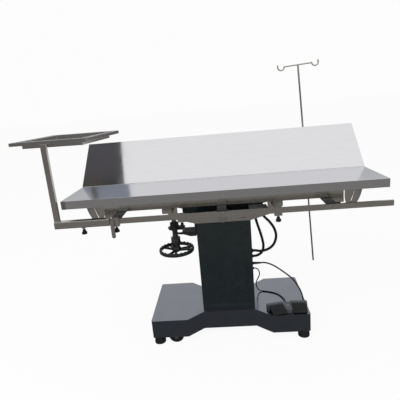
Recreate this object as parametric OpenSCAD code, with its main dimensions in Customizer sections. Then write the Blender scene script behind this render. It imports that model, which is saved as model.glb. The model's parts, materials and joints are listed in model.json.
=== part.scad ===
// Veterinary surgery table with a folding V top, a lift column and a hand-cranked tilt.
// Millimetres. The origin is on the floor under the middle of the base, +X runs along
// the top, -Y is the side that faces the surgeon and +Z is up.

/* [Base] */
// Length of the base along X
base_l = 836; // [700:2:1000]
// Depth of the base along Y
base_d = 420; // [380:2:560]
// Depth of the narrow waist between the lobes
waist_d = 280; // [240:2:320]
// Length of each lobe at its outer edge
lobe_l = 194; // [150:2:230]
// Length of the waist between its slanted sides
waist_l = 284; // [286:2:330]
// Height of the base shell
base_h = 100; // [85:1:140]
// Clear height under the base shell
ground_h = 40; // [40:1:60]
// Sheet thickness of the base shell
base_t = 3; // [2:0.5:6]
// Rounding of the upright corners of the base
base_r = 10; // [4:1:20]

/* [Feet and wheels] */
// Distance of the levelling feet from the ends of the base
foot_end = 32; // [30:1:60]
// Distance of the levelling feet from the long sides of the base
foot_side = 30; // [28:1:60]
// Diameter of a rubber foot
foot_d = 60; // [40:1:64]
// Diameter of a foot's threaded stem
stem_d = 16; // [10:1:20]
// Diameter of the transport wheels
wheel_d = 80; // [60:1:82]
// Width of the transport wheels
wheel_w = 24; // [16:1:26]
// Height of the wheels above the floor when the feet carry the table
wheel_lift = 1; // [1:0.5:6]
// Distance of the wheels' axle from the end of the base
wheel_end = 125; // [116:1:150]
// Diameter of the wheel axles
axle_d = 12; // [8:1:16]

/* [Column] */
// Width of the column casing along X
column_w = 285; // [280:1:300]
// Depth of the column casing along Y
column_d = 200; // [196:1:210]
// Height of the column casing
column_h = 494; // [460:1:560]
// Sheet thickness of the casing
casing_t = 2; // [1:0.5:3]
// Wall of both guide masts
mast_t = 5; // [3:0.5:6]
// Gap between the casing and the fixed mast
mast_gap = 8; // [6:0.5:10]
// Thickness of the glide pads between the masts
pad_t = 6; // [4:0.5:8]
// Travel of the lift
lift_travel = 250; // [100:5:260]
// Diameter of the lift actuator's rod
rod_d = 40; // [30:1:44]

/* [Tilt] */
// Height of the tilt axis above the casing
tilt_rise = 29; // [27:0.5:36]
// Diameter of the tilt shaft
shaft_d = 30; // [20:1:36]
// Distance of the tilt screw from the tilt axis along X
screw_x = 262; // [255:1:275]
// Distance of the tilt screw from the middle plane along Y
screw_y = 60; // [55:1:64]
// Height from the tilt axis to each of the screw's pivots
pivot_rise = 50; // [48:1:56]
// Diameter of the tilt screw
screw_d = 24; // [16:1:26]
// Diameter of the trunnion pins
trunnion_d = 16; // [10:1:18]
// Outer diameter of the handwheel
wheel_od = 190; // [150:2:200]
// Width of the handwheel's rim
rim_w = 13; // [10:0.5:16]
// Height of the handwheel's rim
rim_h = 22; // [16:1:26]
// Thickness of the side plates that carry the top
saddle_t = 6; // [4:0.5:8]
// Height from the tilt axis to the underside of the frame
saddle_rise = 79; // [74:1:90]

/* [Frame] */
// Distance from the end of the top to the end of the side tubes
frame_end = 185; // [160:1:195]
// Distance of the side tubes' outer faces from the middle plane
frame_hw = 250; // [240:1:256]
// Height of the cross tubes
cross_h = 25; // [20:1:30]
// Width of the two middle cross tubes
cross_w = 48; // [44:1:54]
// Width of the two end cross tubes
end_w = 60; // [50:1:64]
// Height of the side tubes
side_h = 40; // [30:1:46]
// Width of the side tubes
side_w = 25; // [20:1:30]
// Wall of the frame tubes
tube_t = 2; // [1.5:0.5:4]

/* [Top panels] */
// Length of the top
top_l = 1500; // [1400:10:1700]
// Width of one panel, measured from the hinge line
panel_w = 300; // [290:1:310]
// Depth of the folded edges
edge_h = 40; // [30:1:46]
// Sheet thickness of the panels
sheet_t = 1.5; // [1:0.1:3]
// Half of the gap between the two panels
seam = 6; // [5.9:0.1:8]
// Diameter of the hinge rod
hinge_d = 6; // [4:0.5:7]
// Angle that the rear panel is raised to
rear_angle = 45; // [0:1:45]
// Radius of the locking slots about the hinge
slot_r = 183; // [175:1:190]
// Distance of the slotted plates from the end of the top
quadrant_end = 110; // [70:1:120]
// Thickness of the slotted plates
quadrant_t = 4; // [3:0.5:6]
// Diameter of the locking bolts
lock_d = 10; // [6:1:12]

/* [Rails] */
// Height of the accessory rails
rail_h = 25; // [20:1:28]
// Thickness of the accessory rails
rail_t = 10; // [6:0.5:12]
// Distance from the middle plane to the inner faces of the rails
rail_y = 335; // [325:1:345]
// Height from the underside of the side tubes down to the rail's middle
rail_drop = 17; // [15:0.5:20]
// Width of the arms that carry the rails
arm_w = 44; // [30:1:46]
// Thickness of the arms that carry the rails
arm_t = 6; // [4:0.5:8]
// Diameter of the rail screws
rail_screw_d = 8; // [5:0.5:9]

/* [Rail clamps] */
// Width of a rail clamp
clamp_w = 34; // [26:1:40]
// Thickness of a rail clamp's plate
clamp_t = 7; // [5:0.5:9]
// Diameter of the accessory socket's bore
socket_d = 12.2; // [8:0.1:12.6]
// Outer diameter of the accessory socket
socket_od = 18; // [16:0.5:22]
// Depth of the accessory socket's bore
socket_depth = 80; // [40:1:90]
// Diameter of the star knobs
knob_d = 25; // [20:0.5:30]

/* [Instrument tray] */
// Side of the square tray over its rim
tray_w = 372; // [340:1:420]
// Depth of the tray pan
tray_depth = 32; // [18:1:40]
// Width of the tray's flat rim
tray_rim = 38; // [28:1:44]
// Height of the tray's rim above the tray arm
tray_rise = 389; // [300:1:460]
// Side of the square tube of the tray arm
post_w = 33; // [31:0.5:36]
// Distance from the end of the top to the middle of the tray arm's end
post_out = 7; // [6:1:20]
// Length of the tray arm's sleeve on the rail
sleeve_l = 259; // [200:1:259]
// Width of the tray post
upright_w = 25; // [22:0.5:33]
// Depth of the tray post
upright_d = 20; // [18:0.5:33]
// Angle that the tray is turned to
tray_turn = -7; // [-30:1:30]

/* [Infusion pole] */
// Diameter of the infusion pole
pole_d = 10; // [8:0.5:14]
// Length of the infusion pole
pole_l = 1235; // [1000:5:1500]
// Distance from the middle to the pole's socket along X
pole_x = 535; // [530:1:640]
// Lean of the infusion pole
pole_lean = 3.5; // [0:0.5:15]
// Span of the two bottle hooks
hook_span = 232; // [160:2:300]

/* [Foot switch and cords] */
// Width of each pedal
pedal_w = 74; // [60:1:78]
// Length of each pedal
pedal_l = 72; // [60:1:76]
// Angle between each pedal and the middle of the foot switch
pedal_splay = 8; // [4:0.5:9]
// Diameter of the two hoses
hose_d = 14; // [8:0.5:15]
// Diameter of the upper foot switch lead
upper_lead_d = 8; // [5:0.5:9]
// Diameter of the lower foot switch lead
lower_lead_d = 6; // [4:0.5:7]

/* [Hidden] */
$fn = 48;

// Clearances: between parts that move, round a running pin, and a hair for cutting
gap = 0.3;
fit = 0.05;
cut = 1;

// Colours as the photograph shows them
steel = [0.72, 0.72, 0.70];
bar_steel = [0.62, 0.61, 0.57];
paint = [0.15, 0.19, 0.19];
black = [0.09, 0.10, 0.10];
grey = [0.50, 0.51, 0.52];

// Levels, from the floor up
base_z = ground_h + base_h;
casing_z = base_z + column_h;
head_gap = 3.5;
plate_h = 10;
head_z = casing_z + head_gap;
tilt_z = casing_z + tilt_rise;
cross_z = tilt_z + saddle_rise;
side_z = cross_z + cross_h;
tube_top = side_z + side_h;
panel_z = tube_top + 3;
top_z = panel_z + edge_h;
hinge_z = top_z - 5;
rail_z = side_z - rail_drop;

// Base
lobe_x = base_l / 2 - lobe_l;
frame_tube = 50;
frame_tube_z = base_z - base_t - frame_tube;
long_tube_y = 55;
long_tube_w = 50;
end_tube_w = 52;
boss_hw = 22;
boss_roof = 4;
foot_x = base_l / 2 - foot_end;
foot_y = base_d / 2 - foot_side;
foot_h = 36;
foot_flat = 12;
foot_taper = 6;
nut_over = 12;
foot_nut_h = 9;
stem_room = 8;
wheel_x = base_l / 2 - wheel_end;
wheel_side = 6;
wheel_y = base_d / 2 - base_t - wheel_w / 2 - wheel_side;
wheel_z = wheel_d / 2 + wheel_lift;
tyre_bevel = 4;
bracket_t = 4;
bracket_w = axle_d + 14;
bracket_plate_hl = 30;
bracket_plate_t = 5;
axle_out = 1;
inlet_w = 32;
inlet_h = 24;
inlet_z = ground_h + 55;
inlet_l = 26;
inlet_room = 18;
inlet_wall = 3;
flange_t = 3;
flange_w = inlet_w + 18;
flange_ht = inlet_h + 8;
control_end = 102;
control_x = base_l / 2 - control_end;
control_in = 70;
control_out = 15;
control_hw = 50;
control_h = 48;

// Column
mast_w = column_w - 2 * (casing_t + mast_gap);
mast_d = column_d - 2 * (casing_t + mast_gap);
slide_w = mast_w - 2 * (mast_t + pad_t + gap);
slide_d = mast_d - 2 * (mast_t + pad_t + gap);
mast_top = casing_z - 74;
mast_foot = 10;
mast_flange = 5;
slide_bottom = base_z + 50;
seal_h = 8;
pad_drops = [45, 165];
pad_h = 40;
end_pad_hw = 40;
long_pad_hw = 60;
gear_h = 60;
gear_left = 55;
gear_right = 80;
gear_hw = 38;
motor_x = 58;
motor_d = 44;
motor_h = 150;
rod_wall = 11;
rod_floor = 6;
rod_bottom = base_z + mast_foot + gear_h + 22;
rod_head_h = 30;
rod_head_hl = 25;
rod_head_hw = 20;

// Cord exits on the right side of the casing, [Y, height above the base]
hose_front_exit = [-45, 301];
hose_rear_exit = [-15, 256];
upper_exit = [-50, 229];
lower_exit = [-50, 199];
gland_l = 8;
relief_l = 45;

// Head and tilt
cap_l = 5;
cap_over = 12;
lug_t = 20;
lug_y = 80;
lug_skirt = 5;
lug_r = tilt_rise - head_gap;
side_plate_x = column_w / 2 + 1.5;
side_plate_t = 6;
head_w = side_plate_x + side_plate_t;
head_d = 190;
member_hl = 228;
member_t = 8;
member_rise = 12;
member_drop = 31;
junction_l = 88;
junction_front = 72;
junction_back = 12;
junction_rise = 20;
junction_foot = 8;
junction_t = 3;
hose_nut_over = 7;
hose_nut_h = 8;
saddle_y = column_d / 2 + 6;
hub_r = 27;
hub_in = 6;
hub_out = 6;
saddle_room = 2.7;
saddle_flat = 142;
saddle_slope = 15;
saddle_toe = 16;
saddle_end = 30;
saddle_post = 55;
saddle_dip = 48;
stop_x = 102;
stop_l = 8;
stop_d = 7;
stop_rise = 15;
nut_z = tilt_z + pivot_rise;
block_z = tilt_z - pivot_rise;
block_low = 13;
block_high = 22;
block_r = 23;
flange_r = 31;
flange_h = 12;
lobe_d = 9;
fork_gap = 33;
fork_t = 8;
trunnion_out = 3;
arm_low = 47;
arm_drop = 23;
arm_h = 12;
arm_neck = 8;
arm_reach = 60;
arm_foot = 26;
web_in = 42;
ear_r = 15;
nut_h = 32;
nut_w = 40;
nut_ear_gap = 22;
nut_ear_t = 8;
pin_out = 2;
journal_l = 47;
collar_h = 27;
collar_r = 25;
hub_h = 46;
hub_low_r = 19;
grips = 24;
grip_w = 9;
grip_h = 2.5;
rib_w = 11;
rib_h = 11;
wheel_drop = 131;
tilt_max = 12;
// The nut's highest place above the lower pivot, and the screw's length above that pivot
nut_reach = 2 * norm([screw_x, pivot_rise]) * sin(atan(pivot_rise / screw_x) + tilt_max / 2);
screw_top = nut_reach + nut_h / 2 + 2;

// Frame
cross_x = screw_x;
frame_hl = top_l / 2 - frame_end;
quadrant_x = top_l / 2 - quadrant_end;
end_x = frame_hl - end_w / 2;
vent_d = 6;
cross_out = 2;
screw_room = 7.5;
beam_hw = 20;
beam_end = 28;
beam_hl = top_l / 2 - beam_end;
beam_top = top_z - edge_h - 1;
ear_w = 12;
rod_short = 4;
knuckle_w = 30;
knuckle_r = 5;
ear_end = 22;
hinge_last = beam_hl - ear_end;
hinge_stations = [for (i = [-2:2]) i * hinge_last / 2];
stiff_end = 250;
stiff_hl = top_l / 2 - stiff_end;
stiff_over = 2.5;
lock_angle = 3;
slot_sweep = 45;
lock_plate_t = 6;
lock_plate_x = quadrant_x - quadrant_t / 2 - 2;
lock_y = slot_r * cos(lock_angle);
lock_z = hinge_z - slot_r * sin(lock_angle);

// Rails: each arm's X, and how far its screws sit from the arm's middle
arm_x = end_x - end_w / 2 - arm_w / 2;
rail_arms_x = [[-arm_x, 0], [0, 3.5], [arm_x, 18]];
arm_in = 15;
screw_pitch = 24;
rail_low = rail_z - rail_h / 2;
rail_high = rail_z + rail_h / 2;
rail_out = rail_y + rail_t;
rail_mid = rail_y + rail_t / 2;
lip_h = 4;
jaw_h = 10;
clamp_left_end = 262;
clamp_left_x = clamp_left_end - top_l / 2;
clamp_mid_x = -184;
clamp_right_x = 250;
stud_d = 8;
stud_y = rail_y + 6.5;

// Tray
tray_z = rail_z + tray_rise;
post_x = top_l / 2 + post_out;
upright_x = post_x + (post_w - upright_w) / 2;
sleeve_in = post_x + post_w / 2 - sleeve_l;
post_t = 2.5;
spigot_d = 14;
spigot_l = 55;
ring_w = 10;
rim_t = 1.5;
lip_drop = 15;
post_gap = 1.3;
post_top = tray_z - lip_drop - post_gap;
ring_back = 12.5;
arm_knob_in = 115;
arm_knob_x = arm_knob_in - post_x;
arm_nut_h = 6;
guide_l = 30;
guide_back = 190;
ring_side = 26;
boss_into = 2;

// Pole
pole_clamp_t = 12;
pole_y = rail_out + gap + pole_clamp_t + 14;
pole_below = 578;
socket_tube_r = 10;
socket_tube_l = 50;
socket_flange_d = 22;
pivot_d = stud_d + 4;
thumb_z = 12;
thumb_d = 5;
thumb_head_d = 16;
thumb_in = 4;
thumb_out = 12;
hook_r = 18;
hook_wire = 8;
hook_tip = 10;

// Foot switch: the middle of its back edge, and the heights above the base's top
switch_x = 308;
switch_y = -112;
switch_turn = 4;
switch_block = 26;
pedal_gap = 1.5;
pedal_dx = pedal_w / 2 + 25;
pedal_z = base_z + 16;
pedal_pin_d = 5;
pedal_pin_y = -5;
pedal_lug = 5;
lug_front = 12;
tab_h = 20;
tab_over = 8;
tab_taper = 2;
block_h = 24;
block_short = 3;
pedal_lug_h = 22;
boss_l = 18;
boss_wall = 2;

// Routes of the hoses and leads
hose_front_route = [
    [150.5, -45, 441], [162, -45, 441], [176, -45, 438], [192, -45, 436],
    [210, -45, 438], [230, -45, 444], [248, -45, 455], [262, -45, 470],
    [271, -45, 488], [276, -45, 507], [277, -45, 527], [273, -45, 547],
    [266, -45, 566], [256, -45, 584], [244, -45, 601], [231, -45, 616],
    [220, -45, 628], [214, -45, 637], [212, -45, 643], [212, -45, 650]
];
hose_rear_route = [
    [150.5, -15, 396], [159, -15, 396], [172, -15, 398], [184, -15, 403],
    [195, -15, 411], [203, -15, 422], [208, -15, 435], [210, -15, 449],
    [210, -15, 464], [208, -15, 480], [205, -15, 497], [201, -15, 514],
    [197, -15, 531], [192, -15, 549], [187, -15, 567], [182, -15, 585],
    [178, -15, 602], [175, -15, 618], [173, -15, 634], [173, -15, 650]
];
upper_route = [
    [187.5, -50, 369], [202, -50, 369], [219, -50, 366], [236, -51, 360],
    [252, -52, 352], [268, -54, 342], [284, -56, 331], [299, -58, 319],
    [314, -60, 307], [329, -61, 294], [344, -61, 280], [358, -61, 264],
    [370, -60, 246], [381, -60, 227], [391, -60, 208], [399, -62, 190],
    [403, -66, 176], [405, -73, 164], [405, -84, 156], [405, -98, 154]
];
lower_route = [
    [150.5, -50, 339], [158, -50, 339], [167, -50, 334], [174, -49, 325],
    [178, -47, 314], [179, -44, 302], [177, -40, 289], [173, -35, 276],
    [169, -28, 263], [165, -20, 250], [163, -10, 238], [162, 0, 226],
    [162, 10, 214], [163, 20, 201], [165, 29, 188], [168, 37, 175],
    [172, 44, 163], [178, 49, 153], [187, 51, 146], [199, 50, 143.5],
    [211, 47, 143.2], [223, 43, 143.2], [235, 38, 143.2], [247, 32, 143.2],
    [259, 25, 143.2], [270, 16, 143.2], [280, 5, 143.2], [289, -8, 143.2],
    [296, -22, 143.5], [301, -37, 145], [305, -52, 147.5], [307, -67, 150],
    [308, -82, 151.5], [308, -96, 152]
];

// A box between two opposite corners
module box(lo, hi) {
    translate(lo) cube(hi - lo);
}

// The same shape on both sides of the middle plane along Y
module both_y() {
    children();
    mirror([0, 1, 0]) children();
}

// The same shape at both ends of the table
module both_x() {
    children();
    mirror([1, 0, 0]) children();
}

// A cylinder along X or Y, from one place to another
module rod_x(x0, x1, y, z, d) {
    translate([x0, y, z]) rotate([0, 90, 0]) cylinder(d = d, h = x1 - x0);
}

module rod_y(x, y0, y1, z, d) {
    translate([x, y0, z]) rotate([-90, 0, 0]) cylinder(d = d, h = y1 - y0);
}

// Points of an arc about a centre
function arc(c, r, a0, a1, n) = [
    for (i = [0:n]) let (a = a0 + (a1 - a0) * i / n) c + r * [cos(a), sin(a)]
];

// Tube along a route that starts along X. Each ring is square to the mean direction of
// the two stretches, and its up direction is carried on from ring to ring
function unit(v) = v / norm(v);
function heading(p, i) = unit(p[min(i + 1, len(p) - 1)] - p[max(i - 1, 0)]);
function carried(u, t) = unit(u - (u * t) * t);
function ups(p) = [
    for (i = 0, u = [0, 0, 1]; i < len(p); u = carried(u, heading(p, i)), i = i + 1)
        carried(u, heading(p, i))
];
function ring(c, t, u, r, n) = let (v = cross(t, u)) [
    for (k = [0:n - 1]) c + r * (u * cos(360 * k / n) + v * sin(360 * k / n))
];

module tube(p, d, n) {
    rings = len(p);
    up = ups(p);
    points = [for (i = [0:rings - 1]) each ring(p[i], heading(p, i), up[i], d / 2, n)];
    sides = [
        for (i = [0:rings - 2], k = [0:n - 1]) let (a = i * n + k, b = i * n + (k + 1) % n)
        each [[a, b, a + n], [b, b + n, a + n]]
    ];
    first = [for (k = [n - 1:-1:0]) k];
    last = [for (k = [0:n - 1]) (rings - 1) * n + k];
    polyhedron(points, concat(sides, [first, last]));
}

// Plan of the base: two lobes joined by a narrower waist
function base_corners(s) = [
    [-base_l / 2 + s, -base_d / 2 + s], [-lobe_x - s / 2, -base_d / 2 + s],
    [-waist_l / 2 - s / 2, -waist_d / 2 + s], [waist_l / 2 + s / 2, -waist_d / 2 + s],
    [lobe_x + s / 2, -base_d / 2 + s], [base_l / 2 - s, -base_d / 2 + s],
    [base_l / 2 - s, base_d / 2 - s], [lobe_x + s / 2, base_d / 2 - s],
    [waist_l / 2 + s / 2, waist_d / 2 - s], [-waist_l / 2 - s / 2, waist_d / 2 - s],
    [-lobe_x - s / 2, base_d / 2 - s], [-base_l / 2 + s, base_d / 2 - s]
];

// A corner rounded with a radius, as points
function corner(p, i, r) = let (
    n = len(p), c = p[i], a = unit(p[(i + n - 1) % n] - c), b = unit(p[(i + 1) % n] - c),
    half = acos(a * b) / 2, m = unit(a + b), o = c + m * r / sin(half),
    s = sign(a[0] * b[1] - a[1] * b[0]), f = atan2(-m[1], -m[0]), w = 90 - half
) [for (k = [-3:3]) o + r * [cos(f - s * w * k / 3), sin(f - s * w * k / 3)]];

module base_plan(s, r) {
    p = base_corners(s);
    polygon([for (i = [0:len(p) - 1]) each corner(p, i, r)]);
}

module base_shell() {
    color(paint) difference() {
        translate([0, 0, ground_h]) linear_extrude(base_h) base_plan(0, base_r);
        translate([0, 0, ground_h - cut]) linear_extrude(base_h - base_t + cut)
            base_plan(base_t, base_r - base_t + 1);
        translate([control_x, base_d / 2, inlet_z])
            cube([inlet_w, 4 * base_t, inlet_h], center = true);
    }
}

// Welded tubes inside the base: two long ones, and one across each end for the feet
module base_frame() {
    end_in = foot_x - end_tube_w / 2;
    end_y = foot_y + boss_hw;
    top = base_z - base_t;
    color(grey) {
        both_y() box_tube([-end_in, long_tube_y, frame_tube_z],
                          [end_in, long_tube_y + long_tube_w, top], 0);
        both_x() difference() {
            union() {
                box_tube([end_in, -end_y, frame_tube_z], [end_in + end_tube_w, end_y, top], 1);
                both_y() box([end_in, foot_y - boss_hw, frame_tube_z],
                             [end_in + end_tube_w, end_y, top]);
            }
            both_y() translate([foot_x, foot_y, frame_tube_z - cut])
                cylinder(d = stem_d + 2 * fit, h = frame_tube - boss_roof + cut);
        }
    }
}

// One bracket: an inner and an outer lug on a top plate, with the axle between them
module wheel_bracket() {
    reach = wheel_w / 2 + gap + bracket_t;
    plate_z = base_z - base_t - bracket_plate_t;
    for (side = [-1, 1]) translate([-wheel_x, -wheel_y + side * (reach - bracket_t / 2), 0])
        rotate([90, 0, 0]) translate([0, 0, -bracket_t / 2]) linear_extrude(bracket_t) {
            translate([0, wheel_z]) circle(d = bracket_w);
            translate([-bracket_w / 2, wheel_z]) square([bracket_w, plate_z - wheel_z]);
        }
    box([-wheel_x - bracket_plate_hl, -wheel_y - reach, plate_z],
        [-wheel_x + bracket_plate_hl, -wheel_y + reach, plate_z + bracket_plate_t]);
    rod_y(-wheel_x, -wheel_y - reach - axle_out, -wheel_y + reach + axle_out, wheel_z, axle_d);
}

module wheel_brackets() {
    color(grey) both_y() wheel_bracket();
}

// Rubber tyre on a hub that turns on the axle
module wheel(side) {
    color(black) translate([-wheel_x, side * wheel_y, wheel_z]) rotate([90, 0, 0]) difference() {
        rotate_extrude() polygon([
            [0, -wheel_w / 2], [wheel_d / 2 - tyre_bevel, -wheel_w / 2],
            [wheel_d / 2, -wheel_w / 2 + tyre_bevel], [wheel_d / 2, wheel_w / 2 - tyre_bevel],
            [wheel_d / 2 - tyre_bevel, wheel_w / 2], [0, wheel_w / 2]
        ]);
        cylinder(d = axle_d + 2 * fit, h = wheel_w + 2 * cut, center = true);
    }
}

module wheel_front() { wheel(-1); }
module wheel_rear() { wheel(1); }

// Levelling foot: a rubber pad on a threaded stem with a hexagon for the spanner
module foot(x, y) {
    color(black) translate([x, y, 0]) {
        rotate_extrude() polygon([
            [0, 0], [foot_d / 2, 0], [foot_d / 2, foot_flat],
            [foot_d / 2 - foot_taper, foot_h], [0, foot_h]
        ]);
        translate([0, 0, foot_h]) cylinder(d = stem_d, h = base_z - base_t - stem_room - foot_h);
        translate([0, 0, foot_h]) cylinder(d = stem_d + nut_over, h = foot_nut_h, $fn = 6);
    }
}

module foot_front_left() { foot(-foot_x, -foot_y); }
module foot_front_right() { foot(foot_x, -foot_y); }
module foot_rear_left() { foot(-foot_x, foot_y); }
module foot_rear_right() { foot(foot_x, foot_y); }

// Mains inlet in the rear wall of the right lobe
module power_inlet() {
    color(black) difference() {
        union() {
            translate([control_x, base_d / 2 + flange_t / 2, inlet_z])
                cube([flange_w, flange_t, flange_ht], center = true);
            box([control_x - inlet_w / 2, base_d / 2 - inlet_l, inlet_z - inlet_h / 2],
                [control_x + inlet_w / 2, base_d / 2, inlet_z + inlet_h / 2]);
        }
        box([control_x - inlet_w / 2 + inlet_wall, base_d / 2 - inlet_room,
             inlet_z - inlet_h / 2 + inlet_wall],
            [control_x + inlet_w / 2 - inlet_wall, base_d / 2 + flange_t + cut,
             inlet_z + inlet_h / 2 - inlet_wall]);
    }
}

module control_box() {
    top = base_z - base_t;
    color(grey) box([control_x - control_in, -control_hw, top - control_h],
                    [control_x + control_out, control_hw, top]);
}

// A round piece that stands on the right wall of the casing, with a neck through the wall
module side_gland(e, d, neck, l) {
    rod_x(column_w / 2, column_w / 2 + l, e[0], base_z + e[1], d);
    rod_x(column_w / 2 - casing_t, column_w / 2, e[0], base_z + e[1], neck);
}

// Casing of the column, with holes for the glands on its right side
module column_casing() {
    color(paint) difference() {
        box([-column_w / 2, -column_d / 2, base_z], [column_w / 2, column_d / 2, casing_z]);
        box([-column_w / 2 + casing_t, -column_d / 2 + casing_t, base_z - cut],
            [column_w / 2 - casing_t, column_d / 2 - casing_t, casing_z + cut]);
        for (e = [hose_front_exit, hose_rear_exit])
            rod_x(0, column_w, e[0], base_z + e[1], hose_d + 2 + 2 * fit);
        rod_x(0, column_w, upper_exit[0], base_z + upper_exit[1], upper_lead_d + 2 + 2 * fit);
        rod_x(0, column_w, lower_exit[0], base_z + lower_exit[1], lower_lead_d + 2 + 2 * fit);
    }
}

// Wiper that closes the gap between the casing and the sliding mast
module column_seal() {
    lip = gap;
    color(black) difference() {
        box([-column_w / 2 + casing_t, -column_d / 2 + casing_t, casing_z - seal_h],
            [column_w / 2 - casing_t, column_d / 2 - casing_t, casing_z]);
        box([-slide_w / 2 - lip, -slide_d / 2 - lip, casing_z - seal_h - cut],
            [slide_w / 2 + lip, slide_d / 2 + lip, casing_z + cut]);
    }
}

module mast_outer() {
    color(grey) difference() {
        union() {
            box([-mast_w / 2, -mast_d / 2, base_z], [mast_w / 2, mast_d / 2, mast_top]);
            box([-mast_w / 2 - mast_flange, -mast_d / 2 - mast_flange, base_z],
                [mast_w / 2 + mast_flange, mast_d / 2 + mast_flange, base_z + mast_foot]);
        }
        box([-mast_w / 2 + mast_t, -mast_d / 2 + mast_t, base_z + mast_foot],
            [mast_w / 2 - mast_t, mast_d / 2 - mast_t, mast_top + cut]);
    }
}

// Plastic pads on the inner faces of the fixed mast, near its top and half way up
module glide_pads() {
    in_x = mast_w / 2 - mast_t;
    in_y = mast_d / 2 - mast_t;
    for (drop = pad_drops) let (z = mast_top - drop) color([0.85, 0.85, 0.80]) {
        both_x() box([in_x - pad_t, -end_pad_hw, z], [in_x, end_pad_hw, z + pad_h]);
        both_y() box([-long_pad_hw, in_y - pad_t, z], [long_pad_hw, in_y, z + pad_h]);
    }
}

// Lift actuator: gearbox, motor and outer tube
module actuator_body() {
    low = base_z + mast_foot;
    color(black) difference() {
        union() {
            box([-gear_left, -gear_hw, low], [gear_right, gear_hw, low + gear_h]);
            translate([0, 0, low + gear_h])
                cylinder(d = rod_d + 2 * rod_wall, h = mast_top - low - gear_h);
            translate([motor_x, 0, low + gear_h]) cylinder(d = motor_d, h = motor_h);
        }
        translate([0, 0, rod_bottom - rod_floor]) cylinder(d = rod_d + 2 * gap, h = mast_top);
    }
}

module actuator_rod() {
    color(steel) {
        translate([0, 0, rod_bottom]) cylinder(d = rod_d, h = head_z - rod_head_h - rod_bottom);
        box([-rod_head_hl, -rod_head_hw, head_z - rod_head_h], [rod_head_hl, rod_head_hw, head_z]);
    }
}

module mast_inner() {
    color(steel) difference() {
        box([-slide_w / 2, -slide_d / 2, slide_bottom], [slide_w / 2, slide_d / 2, head_z]);
        box([-slide_w / 2 + mast_t, -slide_d / 2 + mast_t, slide_bottom - cut],
            [slide_w / 2 - mast_t, slide_d / 2 - mast_t, head_z + cut]);
    }
}

// Glands on the right side of the casing, and the strain relief of the upper lead
module cable_glands() {
    color(black) {
        side_gland(hose_front_exit, hose_d + 7, hose_d + 2, gland_l);
        side_gland(hose_rear_exit, hose_d + 7, hose_d + 2, gland_l);
        side_gland(lower_exit, lower_lead_d + 7, lower_lead_d + 2, gland_l);
        side_gland(upper_exit, upper_lead_d + 9, upper_lead_d + 2, 6);
        translate([column_w / 2 + 6, upper_exit[0], base_z + upper_exit[1]])
            rotate([0, 90, 0])
            cylinder(d1 = upper_lead_d + 6, d2 = upper_lead_d + 2, h = relief_l - 6);
    }
}

// Top plate of the sliding mast, with the two lugs that hold the tilt shaft and a cross
// member behind them, as wide as the room between the cross tubes
module head_block() {
    color(paint) difference() {
        union() {
            box([-head_w, -head_d / 2, head_z], [head_w, head_d / 2, head_z + plate_h]);
            box([-head_w, head_d / 2 - member_t, head_z], [head_w, head_d / 2, tilt_z + member_rise]);
            both_x() box([head_w - cut, head_d / 2 - member_t, tilt_z - member_drop],
                         [member_hl, head_d / 2, tilt_z + member_rise]);
            both_y() translate([0, lug_y + lug_t / 2, 0]) rotate([90, 0, 0]) linear_extrude(lug_t) {
                translate([0, tilt_z]) circle(r = lug_r);
                translate([-lug_r - lug_skirt, head_z])
                    square([2 * (lug_r + lug_skirt), tilt_z - head_z]);
            }
        }
        rod_y(0, -head_d, head_d, tilt_z, shaft_d + 2 * fit);
    }
}

module tilt_shaft() {
    end_y = saddle_y + saddle_t + hub_out + gap;
    color(grey) {
        rod_y(0, -end_y, end_y, tilt_z, shaft_d);
        both_y() rod_y(0, end_y, end_y + cap_l, tilt_z, shaft_d + cap_over);
    }
}

// Fork that holds the screw block: a plate down the column's side and two arms
module screw_bracket() {
    low = block_z - arm_low;
    arm_top = block_z - arm_drop;
    color(paint) difference() {
        union() {
            box([-head_w, -screw_y - fork_gap - fork_t, low], [-side_plate_x, -18, head_z]);
            box([-screw_x + web_in, -screw_y - fork_gap, arm_top - fork_t],
                [-side_plate_x - 1, -screw_y + fork_gap, arm_top]);
            for (y = [-screw_y - fork_gap - fork_t, -screw_y + fork_gap])
                translate([0, y + fork_t, 0]) rotate([90, 0, 0]) linear_extrude(fork_t) {
                    translate([-screw_x, block_z]) circle(r = ear_r);
                    polygon([
                        [-side_plate_x - 1, low], [-head_w - arm_foot, low],
                        [-head_w - arm_reach, arm_top - arm_h],
                        [-screw_x + 4, arm_top - arm_neck], [-screw_x - ear_r, block_z],
                        [-screw_x, block_z + ear_r - 2], [-screw_x + ear_r, block_z],
                        [-screw_x + ear_r, arm_top], [-side_plate_x - 1, arm_top]
                    ]);
                }
        }
        rod_y(-screw_x, -screw_y - fork_gap - fork_t - cut, -screw_y + fork_gap + fork_t + cut,
              block_z, trunnion_d + 2 * fit);
    }
}

// Box on the head where the two hoses end
module junction_box() {
    t = junction_t;
    low = hose_front_route[len(hose_front_route) - 1][2] + gap;
    floor_z = low + hose_nut_h;
    high = tilt_z + junction_rise;
    color(black) {
        difference() {
            union() {
                box([head_w - junction_foot, -junction_front, head_z + plate_h],
                    [head_w, junction_back, high]);
                box([head_w - 1, -junction_front, floor_z], [head_w + junction_l, junction_back, high]);
            }
            box([head_w + junction_t, t - junction_front, floor_z + t],
                [head_w + junction_l - t, junction_back - t, high - t]);
        }
        for (route = [hose_front_route, hose_rear_route]) let (p = route[len(route) - 1])
            translate([p[0], p[1], low]) cylinder(d = hose_d + hose_nut_over, h = hose_nut_h);
    }
}

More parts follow.
